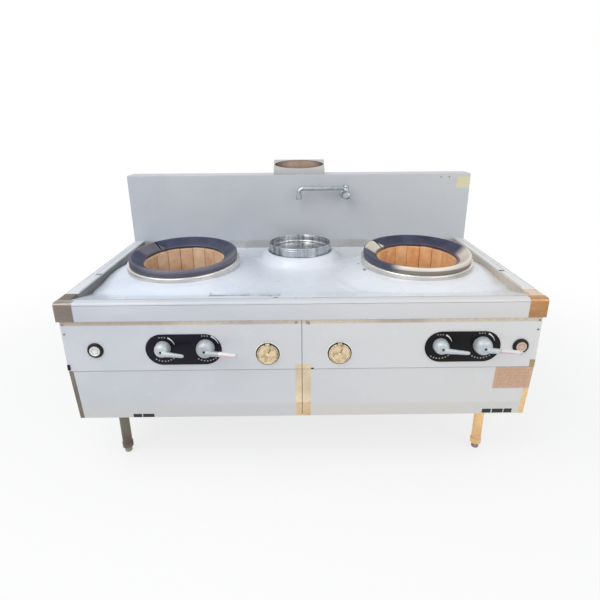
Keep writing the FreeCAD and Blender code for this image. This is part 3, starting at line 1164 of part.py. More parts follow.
# --- all nodes -----------------------------------------------------------------------
def build():
    nodes = {
        "deck": make_deck(),
        "front_rail": make_front_rail(),
        "splash_front": make_splash_front(),
        "splash_rear_cover": make_splash_rear(),
        "flue_outlet": make_flue_outlet(),
        "flue_riser": make_flue_riser(),
        "flue_chamber": make_flue_chamber(),
        "flue_ducts": make_flue_ducts(),
        "back_panel": make_back_panel(),
        "bottom_pan": make_bottom_pan(),
        "frame_posts": make_frame_posts(),
        "frame_bars": make_frame_bars(),
        "legs": make_legs(),
        "ring_collars": make_ring_collars(),
        "blower_motors": make_motors(),
        "water_pan": make_water_pan(),
        "control_plates": make_control_plates(),
        "gas_valves": make_valves(),
        "gas_manifold": make_gas_manifold(),
        "gas_feed_pipes": make_gas_feeds(),
        "air_pipes": Part.makeCompound([make_air_pipe(side) for name, side in WOK_SIDES]),
        "burners": Part.makeCompound([make_burner(side) for name, side in WOK_SIDES]),
        "button_bezels": make_bezels(),
        "port_rings": make_port_rings(),
        "faucet_body": make_faucet_body(),
        "faucet_knob": make_faucet_knob(),
        "faucet_spout": make_faucet_spout(),
        "water_pipe": make_water_pipe(),
        "power_box": make_power_box(),
        "panel_screws": make_screws(),
    }
    for name, side in WOK_SIDES:
        nodes["side_rail_" + name] = make_side_rail(side)
        nodes["side_panel_" + name] = make_side_panel(side)
        nodes["upper_panel_" + name] = make_upper_panel(side)
        nodes["lower_panel_" + name] = make_lower_panel(side)
        nodes["wok_ring_" + name] = make_wok_ring(side)
        nodes["furnace_shell_" + name] = make_furnace_shell(side)
        nodes["brick_ring_" + name] = make_brick_ring(side)
        nodes["blower_housing_" + name] = make_blower_housing(side)
        nodes["impeller_" + name] = make_impeller(side)
    for name, x in (("left", X_LEFT_PILOT), ("right", X_RIGHT_PILOT)):
        nodes["pilot_lever_" + name] = make_lever(x, PILOT_CAP_RADIUS, PILOT_ARM)
    for name, x in (("left", X_LEFT_MAIN), ("right", X_RIGHT_MAIN)):
        nodes["main_lever_" + name] = make_lever(x, MAIN_CAP_RADIUS, MAIN_ARM)
    for name, x in (("left", X_LEFT_BUTTON), ("right", X_RIGHT_BUTTON)):
        nodes["button_" + name] = make_button(x)
    for name, x in (("left", X_LEFT_PORT), ("right", X_RIGHT_PORT)):
        nodes["port_cover_" + name] = make_port_cover(x)
    return nodes


def main():
    os.makedirs("parts", exist_ok=True)
    nodes = build()
    for name, x, depth in leg_places():
        nodes["foot_" + name] = make_foot(x, depth)
    for name, shape in nodes.items():
        shape.exportStep("parts/" + name + ".step")


main()
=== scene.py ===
"""Looks of a twin wok range: film-covered steel, cast rings, fire brick, levers and a faucet."""
import json
import logging
import math
from dataclasses import dataclass
from enum import Enum
from typing import Iterable, Optional, Sequence, Union

import bpy
from mathutils import Matrix, Vector


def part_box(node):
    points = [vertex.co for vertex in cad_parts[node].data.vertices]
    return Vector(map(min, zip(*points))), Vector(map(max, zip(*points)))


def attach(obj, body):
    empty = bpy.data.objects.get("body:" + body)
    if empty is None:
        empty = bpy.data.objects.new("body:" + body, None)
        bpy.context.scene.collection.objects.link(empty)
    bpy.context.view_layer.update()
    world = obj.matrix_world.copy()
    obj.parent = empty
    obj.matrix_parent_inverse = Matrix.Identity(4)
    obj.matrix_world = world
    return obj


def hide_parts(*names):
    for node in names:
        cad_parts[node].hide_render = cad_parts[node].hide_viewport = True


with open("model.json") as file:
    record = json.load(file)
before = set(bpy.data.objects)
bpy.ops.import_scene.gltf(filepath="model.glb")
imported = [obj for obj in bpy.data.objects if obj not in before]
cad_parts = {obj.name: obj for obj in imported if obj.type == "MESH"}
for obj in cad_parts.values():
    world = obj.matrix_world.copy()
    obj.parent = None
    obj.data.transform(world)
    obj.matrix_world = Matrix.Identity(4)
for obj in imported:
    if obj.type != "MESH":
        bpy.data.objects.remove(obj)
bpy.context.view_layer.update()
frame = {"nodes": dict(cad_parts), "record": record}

log = logging.getLogger("wok_range")

Point = tuple[float, float, float]
Colour = tuple[float, float, float]
Piece = bpy.types.Object

SIDES = (("left", -1), ("right", 1))
MM = 0.001
WELD = 0.02 * MM
SHARP = 38.0
SPLIT_ANGLE = 139.0
CONTROL_Z = 0.608
STEM_Z = 0.618
ORIGIN = Vector((0, 0, 0))


def tone(code: str) -> Colour:
    """Linear colour of a six-digit hexadecimal tone.

    Args:
        code: red, green and blue as two hexadecimal digits each.

    Returns:
        The linear red, green and blue that a shader socket takes.
    """
    parts = [int(code[i:i + 2], 16) / 255 for i in (0, 2, 4)]
    return tuple(p / 12.92 if p <= 0.04045 else ((p + 0.055) / 1.055) ** 2.4 for p in parts)


# ------------------------------------------------------------------ shared places
@dataclass(frozen=True)
class Layout:
    """Places that several sub-assemblies share, read from the frame, in metres."""

    front: float
    half: float
    top_rail: float
    deck: float
    splash: float
    splash_top: float
    rear: float
    panel_bottom: float
    wok_x: float
    wok_y: float
    pan_y: float

    @classmethod
    def from_frame(cls) -> "Layout":
        """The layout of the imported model."""
        rail_low, rail_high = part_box("front_rail")
        splash_low, splash_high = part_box("splash_front")
        shell_low, shell_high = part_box("furnace_shell_right")
        pan_low, pan_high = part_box("water_pan")
        return cls(front=rail_low.y, half=rail_high.x, top_rail=rail_high.z,
                   deck=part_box("deck")[0].z + 1.5 * MM, splash=splash_low.y,
                   splash_top=splash_high.z, rear=splash_high.y,
                   panel_bottom=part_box("lower_panel_left")[0].z,
                   wok_x=(shell_low.x + shell_high.x) / 2, wok_y=(shell_low.y + shell_high.y) / 2,
                   pan_y=(pan_low.y + pan_high.y) / 2)

    @property
    def splash_depth(self) -> float:
        """Depth of the backsplash's face behind the front rail."""
        return self.splash - self.front

    def at(self, x: float, depth: float, z: float) -> Vector:
        """Point given by its depth behind the face of the front rail."""
        return Vector((x, self.front + depth, z))


PLACE = Layout.from_frame()


# ------------------------------------------------------------------ modelling bench
def alone(piece: Piece) -> None:
    """Select one piece and make it active.

    Args:
        piece: the piece to select.
    """
    bpy.ops.object.select_all(action="DESELECT")
    piece.select_set(True)
    bpy.context.view_layer.objects.active = piece


def edit(piece: Piece) -> None:
    """Open a piece in edit mode with nothing selected.

    Args:
        piece: the piece to open.
    """
    alone(piece)
    bpy.ops.object.mode_set(mode="EDIT")
    bpy.ops.mesh.select_all(action="DESELECT")


def done() -> None:
    """Close edit mode."""
    bpy.ops.object.mode_set(mode="OBJECT")


def named(name: str) -> Piece:
    """Give the newest piece its name and set its place into its mesh.

    Args:
        name: the new name.

    Returns:
        The newest piece.
    """
    piece = bpy.context.object
    piece.name = name
    piece.data.name = name
    bpy.ops.object.transform_apply(location=True, rotation=True, scale=True)
    return piece


def carry(piece: Piece, matrix: Matrix) -> Piece:
    """Carry a piece by a matrix, with its place in its mesh.

    Args:
        piece: the piece to move.
        matrix: where it goes.

    Returns:
        The same piece.
    """
    piece.matrix_world = matrix
    alone(piece)
    bpy.ops.object.transform_apply(location=True, rotation=True, scale=True)
    return piece


def refine(piece: Piece, kind: str, **settings: object) -> Piece:
    """Add one modifier, set it and apply it.

    Args:
        piece: the piece to finish.
        kind: Blender's modifier type.
        settings: the modifier's properties.

    Returns:
        The same piece.
    """
    alone(piece)
    modifier = piece.modifiers.new(kind.lower(), kind)
    for key, value in settings.items():
        setattr(modifier, key, value)
    bpy.ops.object.modifier_apply(modifier=modifier.name)
    return piece


def round_edges(piece: Piece, width: float, segments: int = 2, angle: float = SHARP) -> Piece:
    """Round every edge that is sharper than an angle in degrees."""
    return refine(piece, "BEVEL", width=width, segments=segments, limit_method="ANGLE",
                  angle_limit=math.radians(angle), harden_normals=False)


def smooth(piece: Piece, angle: float = SHARP) -> Piece:
    """Shade a piece smooth, with creases where it is sharper than an angle in degrees.

    Args:
        piece: the piece to shade.
        angle: sharpness that stays a crease.

    Returns:
        The same piece.
    """
    alone(piece)
    bpy.ops.object.shade_smooth_by_angle(angle=math.radians(angle))
    return piece


def face_out(piece: Piece) -> Piece:
    """Merge doubles and turn every face outwards.

    Args:
        piece: the piece to close.

    Returns:
        The same piece.
    """
    edit(piece)
    bpy.ops.mesh.select_all(action="SELECT")
    bpy.ops.mesh.remove_doubles(threshold=WELD)
    bpy.ops.mesh.normals_make_consistent(inside=False)
    done()
    return piece


def chain(name: str, points: Sequence[Vector], closed: bool) -> Piece:
    """Line of edges through points, drawn by pulling one corner along.

    Args:
        name: the piece's name.
        points: the corners in order.
        closed: whether the last corner joins the first, with a face between.

    Returns:
        The new piece.
    """
    bpy.ops.object.select_all(action="DESELECT")
    bpy.ops.mesh.primitive_plane_add(size=10 * MM, location=(0, 0, 0))
    piece = named(name)
    bpy.ops.object.mode_set(mode="EDIT")
    bpy.ops.mesh.select_all(action="SELECT")
    bpy.ops.mesh.merge(type="CENTER")
    bpy.ops.mesh.select_mode(type="VERT")
    bpy.ops.mesh.select_all(action="SELECT")
    bpy.ops.transform.translate(value=points[0])
    for start, end in zip(points, points[1:]):
        bpy.ops.mesh.extrude_vertices_move(TRANSFORM_OT_translate={"value": end - start})
    bpy.ops.mesh.select_all(action="SELECT")
    if closed:
        bpy.ops.mesh.edge_face_add()
    done()
    return piece


def fold(name: str, points: Sequence[Vector], run: Vector, closed: bool = False,
         sheet: float = 0.0) -> Piece:
    """Sheet or bar that follows a line of points and is pulled straight along a run.

    Args:
        name: the piece's name.
        points: corners of the section.
        run: how far and where the section is pulled.
        closed: True for a solid bar, False for a sheet.
        sheet: thickness that an open section gets, towards its inner side.

    Returns:
        The new piece.
    """
    piece = chain(name, points, closed)
    edit(piece)
    bpy.ops.mesh.select_all(action="SELECT")
    bpy.ops.mesh.extrude_region_move(TRANSFORM_OT_translate={"value": run})
    done()
    if closed:
        return face_out(piece)
    return refine(piece, "SOLIDIFY", thickness=sheet, offset=0.0, use_even_offset=True)


class Aim(Enum):
    """Directions that a turned piece's height can take."""

    UP = Vector((0, 0, 1))
    DOWN = Vector((0, 0, -1))
    FRONT = Vector((0, -1, 0))
    BACK = Vector((0, 1, 0))
    RIGHT = Vector((1, 0, 0))


Heading = Union[Aim, Vector]


def lathe(name: str, profile: Sequence[tuple[float, float]], centre: Vector,
          direction: Heading = Aim.UP, steps: int = 96) -> Piece:
    """Round piece turned from the outline of half its section.

    Args:
        name: the piece's name.
        profile: (radius, height) corners; the last joins the first off the axis.
        centre: where radius 0 and height 0 lie.
        direction: where the height points.
        steps: faces round the piece.

    Returns:
        The new piece.
    """
    corners = [Vector((radius, 0, height)) for radius, height in profile]
    if profile[0][0] > WELD or profile[-1][0] > WELD:
        corners.append(corners[0])
    piece = chain(name, corners, closed=False)
    edit(piece)
    bpy.ops.mesh.select_all(action="SELECT")
    bpy.ops.mesh.spin(steps=steps, angle=math.tau, center=(0, 0, 0), axis=(0, 0, 1))
    done()
    face_out(piece)
    height = direction.value if isinstance(direction, Aim) else direction
    turn = height.to_track_quat("Z", "Y").to_matrix().to_4x4()
    return carry(piece, Matrix.Translation(centre) @ turn)


def rod(name: str, radius: float, low: float, high: float, centre: Vector,
        direction: Heading = Aim.UP, steps: int = 20) -> Piece:
    """Plain round bar.

    Args:
        name: the piece's name.
        radius: its radius.
        low: where it starts along its direction.
        high: where it ends.
        centre: where height 0 lies.
        direction: where the height points.
        steps: faces round the bar.

    Returns:
        The new piece.
    """
    return lathe(name, ((0, low), (radius, low), (radius, high), (0, high)), centre, direction, steps)


def block(name: str, low: Vector, high: Vector, bevel: float = 0.0, segments: int = 2) -> Piece:
    """Box between two corners, with rounded edges.

    Args:
        name: the piece's name.
        low: lowest corner.
        high: highest corner.
        bevel: width of the rounding.
        segments: faces across the rounding.

    Returns:
        The new piece.
    """
    bpy.ops.object.select_all(action="DESELECT")
    bpy.ops.mesh.primitive_cube_add(size=1, location=(low + high) / 2, scale=high - low)
    piece = named(name)
    if bevel:
        edit(piece)
        bpy.ops.mesh.select_all(action="SELECT")
        bpy.ops.mesh.bevel(offset=bevel, segments=segments)
        done()
    return piece


def drill(piece: Piece, cutter: Piece) -> Piece:
    """Cut one piece out of another and put the cutter away.

    Args:
        piece: the piece that is cut.
        cutter: what is cut out; it is removed.

    Returns:
        The piece that is cut.
    """
    refine(piece, "BOOLEAN", operation="DIFFERENCE", object=cutter, solver="EXACT")
    bpy.data.objects.remove(cutter)
    return piece


def weld(name: str, parts: Sequence[Piece]) -> Piece:
    """Join parts into one piece.

    Args:
        name: name of the joined piece.
        parts: the parts; the first one stays.

    Returns:
        The joined piece.
    """
    bpy.ops.object.select_all(action="DESELECT")
    for part in parts:
        part.select_set(True)
    bpy.context.view_layer.objects.active = parts[0]
    if len(parts) > 1:
        bpy.ops.object.join()
    parts[0].name = name
    parts[0].data.name = name
    return parts[0]


def copied(piece: Piece, name: str, matrix: Matrix) -> Piece:
    """Copy of a piece with its own mesh, carried to another place.

    Args:
        piece: the piece to copy.
        name: the copy's name.
        matrix: how the copy's mesh is moved.

    Returns:
        The copy.
    """
    alone(piece)
    bpy.ops.object.duplicate(linked=False)
    twin = bpy.context.object
    twin.name = name
    twin.data.name = name
    return carry(twin, matrix)


def pipe(name: str, route: Sequence[Vector], radius: float, bend: float, sides: int = 24) -> Piece:
    """Round bar along straight runs with rounded corners.

    Args:
        name: the piece's name.
        route: corners of the route.
        radius: radius of the bar.
        bend: distance from a corner at which its rounding starts.
        sides: faces round the bar.

    Returns:
        The new piece.
    """
    bpy.ops.object.select_all(action="DESELECT")
    bpy.ops.curve.primitive_nurbs_path_add()
    curve = bpy.context.object
    curve.data.splines.clear()
    spline = curve.data.splines.new("BEZIER")
    knots: list[tuple[Vector, Vector, Vector]] = [(route[0], route[0], route[0].lerp(route[1], 0.3))]
    for before, corner, after in zip(route, route[1:], route[2:]):
        towards, away = (before - corner).normalized(), (after - corner).normalized()
        first, last = corner + towards * bend, corner + away * bend
        knots.append((first + towards * bend / 2, first, corner.lerp(first, 0.45)))
        knots.append((corner.lerp(last, 0.45), last, last + away * bend / 2))
    knots.append((route[-1].lerp(route[-2], 0.3), route[-1], route[-1]))
    spline.bezier_points.add(len(knots) - 1)
    for knot, (left, middle, right) in zip(spline.bezier_points, knots):
        knot.handle_left, knot.co, knot.handle_right = left, middle, right
    curve.data.bevel_depth = radius
    curve.data.bevel_resolution = sides // 4
    curve.data.use_fill_caps = True
    bpy.ops.object.convert(target="MESH")
    return face_out(named(name))


def arc(radius: float, start: float, end: float, count: int,
        centre: tuple[float, float] = (0.0, 0.0)) -> list[tuple[float, float]]:
    """Points of an arc about a centre.

    Args:
        radius: its radius.
        start: angle of the first point, in degrees.
        end: angle of the last point.
        count: steps between them.
        centre: its middle.

    Returns:
        The points, one more than the steps.
    """
    span = [math.radians(start + (end - start) * i / count) for i in range(count + 1)]
    return [(centre[0] + radius * math.cos(a), centre[1] + radius * math.sin(a)) for a in span]


# ------------------------------------------------------------------ paint shop
class Field:
    """Output of a shader node that can stand in Python expressions."""

    def __init__(self, paint: "Paint", socket: bpy.types.NodeSocket) -> None:
        """Hold the socket and the paint that it belongs to."""
        self.paint = paint
        self.socket = socket

    def _math(self, operation: str, first: "Operand", second: "Operand") -> "Field":
        """Math node over two operands."""
        return self.paint.node("ShaderNodeMath", {"operation": operation}, {0: first, 1: second})

    def __add__(self, other: "Operand") -> "Field":
        """Sum."""
        return self._math("ADD", self, other)

    __radd__ = __add__

    def __sub__(self, other: "Operand") -> "Field":
        """Difference."""
        return self._math("SUBTRACT", self, other)

    def __rsub__(self, other: "Operand") -> "Field":
        """Difference, the other way round."""
        return self._math("SUBTRACT", other, self)

    def __mul__(self, other: "Operand") -> "Field":
        """Product."""
        return self._math("MULTIPLY", self, other)

    __rmul__ = __mul__

    def __pow__(self, other: "Operand") -> "Field":
        """Power."""
        return self._math("POWER", self, other)

    def most(self, other: "Operand") -> "Field":
        """The larger of two values."""
        return self._math("MAXIMUM", self, other)

    def least(self, other: "Operand") -> "Field":
        """The smaller of two values."""
        return self._math("MINIMUM", self, other)

    def between(self, start: float, end: float) -> "Field":
        """Soft step from 0 at start to 1 at end; start may lie above end.

        Args:
            start: value that gives 0.
            end: value that gives 1.

        Returns:
            The eased step.
        """
        settings = {"interpolation_type": "SMOOTHSTEP", "clamp": True}
        if start > end:
            return 1 - self.between(end, start)
        return self.paint.node("ShaderNodeMapRange", settings, {0: self, 1: start, 2: end, 3: 0.0, 4: 1.0})


Operand = Union[Field, float]


class Paint:
    """One material while it is being mixed."""

    def __init__(self, name: str) -> None:
        """Start an empty material with one surface shader.

        Args:
            name: the material's name.
        """
        self.material = bpy.data.materials.new(name)
        self.material.use_nodes = True
        self.tree = self.material.node_tree
        self.tree.nodes.clear()
        self.output = self.tree.nodes.new("ShaderNodeOutputMaterial")
        self.surface = self.tree.nodes.new("ShaderNodeBsdfPrincipled")
        self.tree.links.new(self.surface.outputs[0], self.output.inputs[0])
        self._place: Optional[Field] = None
        self._axes: Optional[tuple[Field, Field, Field]] = None

    def node(self, kind: str, settings: Optional[dict] = None, inputs: Optional[dict] = None,
             output: Union[int, str] = 0) -> Field:
        """Add any node.

        Args:
            kind: the node's type.
            settings: properties set before its sockets.
            inputs: socket name or number to a value or a field.
            output: name or number of the output that is wanted.

        Returns:
            The output as a field.
        """
        made = self.tree.nodes.new(kind)
        for key, value in (settings or {}).items():
            setattr(made, key, value)
        for key, value in (inputs or {}).items():
            self.feed(made.inputs[key], value)
        return Field(self, made.outputs[output])

    def feed(self, socket: bpy.types.NodeSocket, value: object) -> None:
        """Link a field to a socket, or write a plain value into it."""
        if isinstance(value, Field):
            self.tree.links.new(value.socket, socket)
        elif isinstance(value, tuple) and len(value) == 3 and socket.type == "RGBA":
            socket.default_value = (*value, 1.0)
        else:
            socket.default_value = value

    def place(self) -> Field:
        """Object coordinates, which are the frame's metres."""
        if self._place is None:
            self._place = self.node("ShaderNodeTexCoord", output="Object")
        return self._place

    def axes(self) -> tuple[Field, Field, Field]:
        """Object coordinates as three values."""
        if self._axes is None:
            split = self.tree.nodes.new("ShaderNodeSeparateXYZ")
            self.tree.links.new(self.place().socket, split.inputs[0])
            self._axes = tuple(Field(self, split.outputs[i]) for i in range(3))
        return self._axes

    def noise(self, scale: float, detail: float = 3.0, stretch: Point = (1, 1, 1),
              shift: Point = (0, 0, 0), rough: float = 0.5) -> Field:
        """Cloud noise over the piece.

        Args:
            scale: clouds per metre.
            detail: octaves.
            stretch: scale along each axis.
            shift: where the pattern starts.
            rough: weight of the small clouds.

        Returns:
            Noise from 0 to 1.
        """
        spot = self.node("ShaderNodeMapping", {}, {"Vector": self.place(), "Scale": stretch,
                                                   "Location": shift})
        return self.node("ShaderNodeTexNoise", {}, {"Vector": spot, "Scale": scale, "Detail": detail,
                                                    "Roughness": rough})

    def mix(self, share: Operand, first: object, second: object) -> Field:
        """Colour between two colours."""
        return self.node("ShaderNodeMix", {"data_type": "RGBA"}, {0: share, 6: first, 7: second},
                         output=2)

    def bump(self, height: Field, strength: float, distance: float) -> Field:
        """Surface normal raised by a height field."""
        return self.node("ShaderNodeBump", {}, {"Height": height, "Strength": strength,
                                                "Distance": distance})

    def zone(self, area: "Zone") -> Field:
        """1 inside a zone and 0 outside, with soft borders.

        Args:
            area: the zone.

        Returns:
            The mask.
        """
        mask: Optional[Field] = None
        for value, (low, high) in zip(self.axes(), (area.x, area.y, area.z)):
            for edge, sign in ((low, 1), (high, -1)):
                if edge is None:
                    continue
                step = value.between(edge - sign * area.soft / 2, edge + sign * area.soft / 2)
                mask = step if mask is None else mask * step
        return mask

    def finish(self, **channels: object) -> bpy.types.Material:
        """Feed the surface shader and hand over the material.

        Args:
            channels: socket names with underscores for spaces.

        Returns:
            The finished material.
        """
        for key, value in channels.items():
            self.feed(self.surface.inputs[key.replace("_", " ")], value)
        return self.material


Span = tuple[Optional[float], Optional[float]]
OPEN: Span = (None, None)


@dataclass(frozen=True)
class Zone:
    """Box in the frame whose sides may be open, with the tone that it shows.

    The share says how metallic a bare zone is, or how strongly a wash shows.
    """

    tone: str
    x: Span = OPEN
    y: Span = OPEN
    z: Span = OPEN
    soft: float = 0.004
    share: float = 0.85


@dataclass(frozen=True)
class FilmSheet:
    """Stainless sheet under its pale delivery film, bare in some zones."""

    name: str
    film: str = "CDD0D6"
    shade: str = "BBC0C9"
    warm: str = "E2E0DC"
    bare: tuple[Zone, ...] = ()
    marks: tuple[Zone, ...] = ()
    washes: tuple[Zone, ...] = ()
    creases: float = 0.35
    stretch: Point = (1.0, 1.0, 1.0)
    gloss: float = 0.36
    drift: tuple[float, float] = (-0.9, 0.9)

    def mix(self) -> bpy.types.Material:
        """Mix the material."""
        paint = Paint(self.name)
        x_value = paint.axes()[0]
        clouds = paint.noise(2.6, 3.0, self.stretch)
        fine = paint.noise(19.0, 4.0, self.stretch, (3.1, 0.7, 2.2))
        film = paint.mix(clouds.between(0.32, 0.70), tone(self.film), tone(self.shade))
        # Painted light: the film turns lighter and warmer towards the right, where low sunlight falls.
        warmth = x_value.between(*self.drift) * 0.75
        film = paint.mix(warmth * (clouds * 0.5 + 0.55), film, tone(self.warm))
        film = paint.mix(fine.between(0.58, 0.80) * 0.22, film, tone(self.warm))
        wrinkle = paint.noise(7.5, 5.0, self.stretch, (0.3, 4.0, 1.0), 0.62)
        ridge = (wrinkle - 0.5) * (wrinkle - 0.5)
        bubble = paint.node("ShaderNodeTexVoronoi", {"feature": "SMOOTH_F1"},
                            {"Vector": paint.place(), "Scale": 46.0, "Smoothness": 0.7}, "Distance")
        lift = ridge * -1.8 + bubble.between(0.30, 0.62) * 0.12 + fine * 0.2
        colour, metal, rough = film, 0.0, fine * 0.16 + (self.gloss - 0.08)
        steel_grain = paint.noise(60.0, 3.0, (1.0, 14.0, 14.0), (5.0, 1.0, 0.0))
        for area in self.bare:
            mask = paint.zone(area)
            light = tuple(min(1.0, c * 1.35 + 0.05) for c in tone(area.tone))
            bare = paint.mix(steel_grain.between(0.35, 0.70), tone(area.tone), light)
            bare = paint.mix(clouds.between(0.40, 0.62) * 0.6, bare,
                             tuple(c * 0.62 for c in tone(area.tone)))
            colour = paint.mix(mask, colour, bare)
            metal = mask * area.share + (1 - mask) * metal
            rough = mask * (steel_grain * 0.16 + 0.24) + (1 - mask) * rough
        for area in self.washes:
            colour = paint.mix(paint.zone(area) * area.share, colour, tone(area.tone))
        for area in self.marks:
            scuff = paint.zone(area) * fine.between(0.40, 0.60)
            colour = paint.mix(scuff, colour, tone(area.tone))
        normal = paint.bump(lift, self.creases, 4 * MM)
        return paint.finish(Base_Color=colour, Metallic=metal, Roughness=rough, Normal=normal,
                            Coat_Weight=0.25, Coat_Roughness=0.22, Specular_IOR_Level=0.45)


@dataclass(frozen=True)
class BrushedSteel:
    """Bare steel with a directional grain and cloudy tarnish."""

    name: str
    base: str = "A9A6A2"
    stain: str = "7E7468"
    grain: Point = (1.0, 1.0, 40.0)
    grain_scale: float = 45.0
    rough: float = 0.28
    metal: float = 0.9
    stain_share: float = 0.6
    relief: float = 0.12
    streak: Point = (1.0, 1.0, 1.0)

    def mix(self) -> bpy.types.Material:
        """Mix the material."""
        paint = Paint(self.name)
        line = paint.noise(self.grain_scale, 4.0, self.grain, (0.4, 0.9, 0.0))
        cloud = paint.noise(6.0, 4.0, self.streak, (2.0, 0.0, 1.0))
        light = tuple(min(1.0, c * 1.25) for c in tone(self.base))
        colour = paint.mix(line.between(0.3, 0.7), tone(self.base), light)
        colour = paint.mix(cloud.between(0.45, 0.72) * self.stain_share, colour, tone(self.stain))
        rough = line * 0.14 + cloud * 0.12 + (self.rough - 0.13)
        return paint.finish(Base_Color=colour, Metallic=self.metal, Roughness=rough,
                            Normal=paint.bump(line, self.relief, 0.4 * MM))


@dataclass(frozen=True)
class CastIron:
    """Machined iron casting with a blue-black oil finish and rubbed edges."""

    name: str = "oiled_cast_iron"
    base: str = "272A44"
    worn: str = "6A6D7E"
    rust: str = "6B5548"
    middle: float = 0.0
    # share of the painted sunlit patch
    painted_sun: float = 0.0
    # share of dark brown at the inner edge and low down within the painted sunlit patch
    outline: float = 0.7

    def slope(self, across: Field, away: Field, radius: Field) -> Field:
        """Share of painted sunlight: the slope's front right, its rear left and the wall's front right.

        Args:
            across: distance to the right of the ring's axis.
            away: distance behind it.
            radius: distance from it.

        Returns:
            Share from 0 to 1.
        """
        slope = radius.between(0.176, 0.179) * radius.between(0.240, 0.236)
        near = (across * 0.62 - away).between(0.075, 0.150)
        far = away.between(0.02, 0.05) * (0 - across).between(0.118, 0.124) * away.between(0.140, 0.134)
        return slope * near.most(far * radius.between(0.232, 0.228)) * self.painted_sun

    def split(self, across: Field, away: Field) -> Field:
        """Painted shade: dark line along the split of the ring, at its rear left.

        Args:
            across: distance to the right of the ring's axis.
            away: distance behind it.

        Returns:
            Share from 0 to 1.
        """
        angle = math.radians(SPLIT_ANGLE)
        off = across * math.sin(angle) - away * math.cos(angle)
        line = (off * off) ** 0.5
        return line.between(0.0046, 0.0030) * away.between(0.05, 0.08)

    def mix(self) -> bpy.types.Material:
        """Mix the material."""
        paint = Paint(self.name)
        x_value, y_value, z_value = paint.axes()
        across, away = x_value - self.middle, y_value - PLACE.wok_y
        radius = (across * across + away * away) ** 0.5
        sand = paint.noise(240.0, 5.0, (1, 1, 1), (0, 0, 0), 0.62)
        cloud = paint.noise(11.0, 5.0, (1, 1, 1), (1.7, 3.0, 0.2), 0.6)
        rub = paint.node("ShaderNodeNewGeometry", output="Pointiness").between(0.505, 0.56)
        colour = paint.mix(cloud.between(0.35, 0.70), tone(self.base), tone("414660"))
        colour = paint.mix(cloud.between(0.60, 0.82) * 0.4, colour, tone(self.rust))
        colour = paint.mix((rub * (sand * 0.8 + 0.35)).least(1.0), colour, tone(self.worn))
        # Painted sunlight: a pale cream patch, turning dark brown at the ring's inner edge and low on the
        # slope.
        painted_sun = self.slope(across, away, radius) * (cloud * 0.25 + 0.80)
        edge = paint.noise(90.0, 3.0) * 0.004 + radius
        lip = edge.between(0.1850, 0.1825).most(z_value.between(0.8395, 0.8370))
        pale = paint.mix(lip * self.outline, tone("E9DFD1"), tone("3A302C"))
        colour = paint.mix(painted_sun.least(1.0), colour, pale)
        # Painted shade along the split, on the ring's top.
        colour = paint.mix(z_value.between(0.840, 0.850) * self.split(across, away), colour, tone("0B0B12"))
        rough = sand * 0.22 + cloud * 0.18 + 0.26
        return paint.finish(Base_Color=colour, Metallic=0.4, Roughness=rough,
                            Normal=paint.bump(sand, 0.35, 0.5 * MM))


@dataclass(frozen=True)
class FireBrick:
    """Pressed fire clay with pits, grog and scorch clouds, darker towards the bottom of the chamber."""

    name: str = "fire_clay"
    base: str = "D2A67C"
    grog: str = "E9CFA9"
    scorch: str = "B9743A"

    def mix(self) -> bpy.types.Material:
        """Mix the material."""
        paint = Paint(self.name)
        cloud = paint.noise(26.0, 5.0, (1, 1, 1), (0, 0, 0), 0.6)
        pit = paint.node("ShaderNodeTexVoronoi", {}, {"Vector": paint.place(), "Scale": 190.0},
                         "Distance")
        island = paint.node("ShaderNodeNewGeometry", output="Random Per Island")
        colour = paint.mix(cloud.between(0.30, 0.70), tone(self.base), tone(self.scorch))
        colour = paint.mix(island * 0.45, colour, tone(self.grog))
        colour = paint.mix(pit.between(0.24, 0.08) * 0.5, colour, tone("8C5A34"))
        # darker towards the bottom of the chamber
        depth = paint.axes()[2].between(PLACE.top_rail - 0.01, PLACE.top_rail - 0.16)
        colour = paint.mix(depth * 0.35, colour, tone("9C5A2C"))
        height = cloud * 0.6 + pit.between(0.0, 0.35) * 0.5
        return paint.finish(Base_Color=colour, Roughness=0.92, Normal=paint.bump(height, 0.6, 1.2 * MM))


@dataclass(frozen=True)
class Enamel:
    """Paint or moulded plastic with a fine skin and a little dust."""

    name: str
    base: str
    dust: str = "8A8C90"
    rough: float = 0.42
    grain: float = 420.0
    dusty: float = 0.15
    relief: float = 0.15
    metal: float = 0.0
    shine: float = 0.5

    def mix(self) -> bpy.types.Material:
        """Mix the material."""
        paint = Paint(self.name)
        skin = paint.noise(self.grain, 3.0)
        cloud = paint.noise(14.0, 4.0, (1, 1, 1), (4.0, 2.0, 0.0))
        colour = paint.mix(cloud.between(0.48, 0.80) * self.dusty, tone(self.base), tone(self.dust))
        rough = skin * 0.12 + cloud * 0.14 + (self.rough - 0.13)
        return paint.finish(Base_Color=colour, Metallic=self.metal, Roughness=rough,
                            Specular_IOR_Level=self.shine,
                            Normal=paint.bump(skin, self.relief, 0.2 * MM))


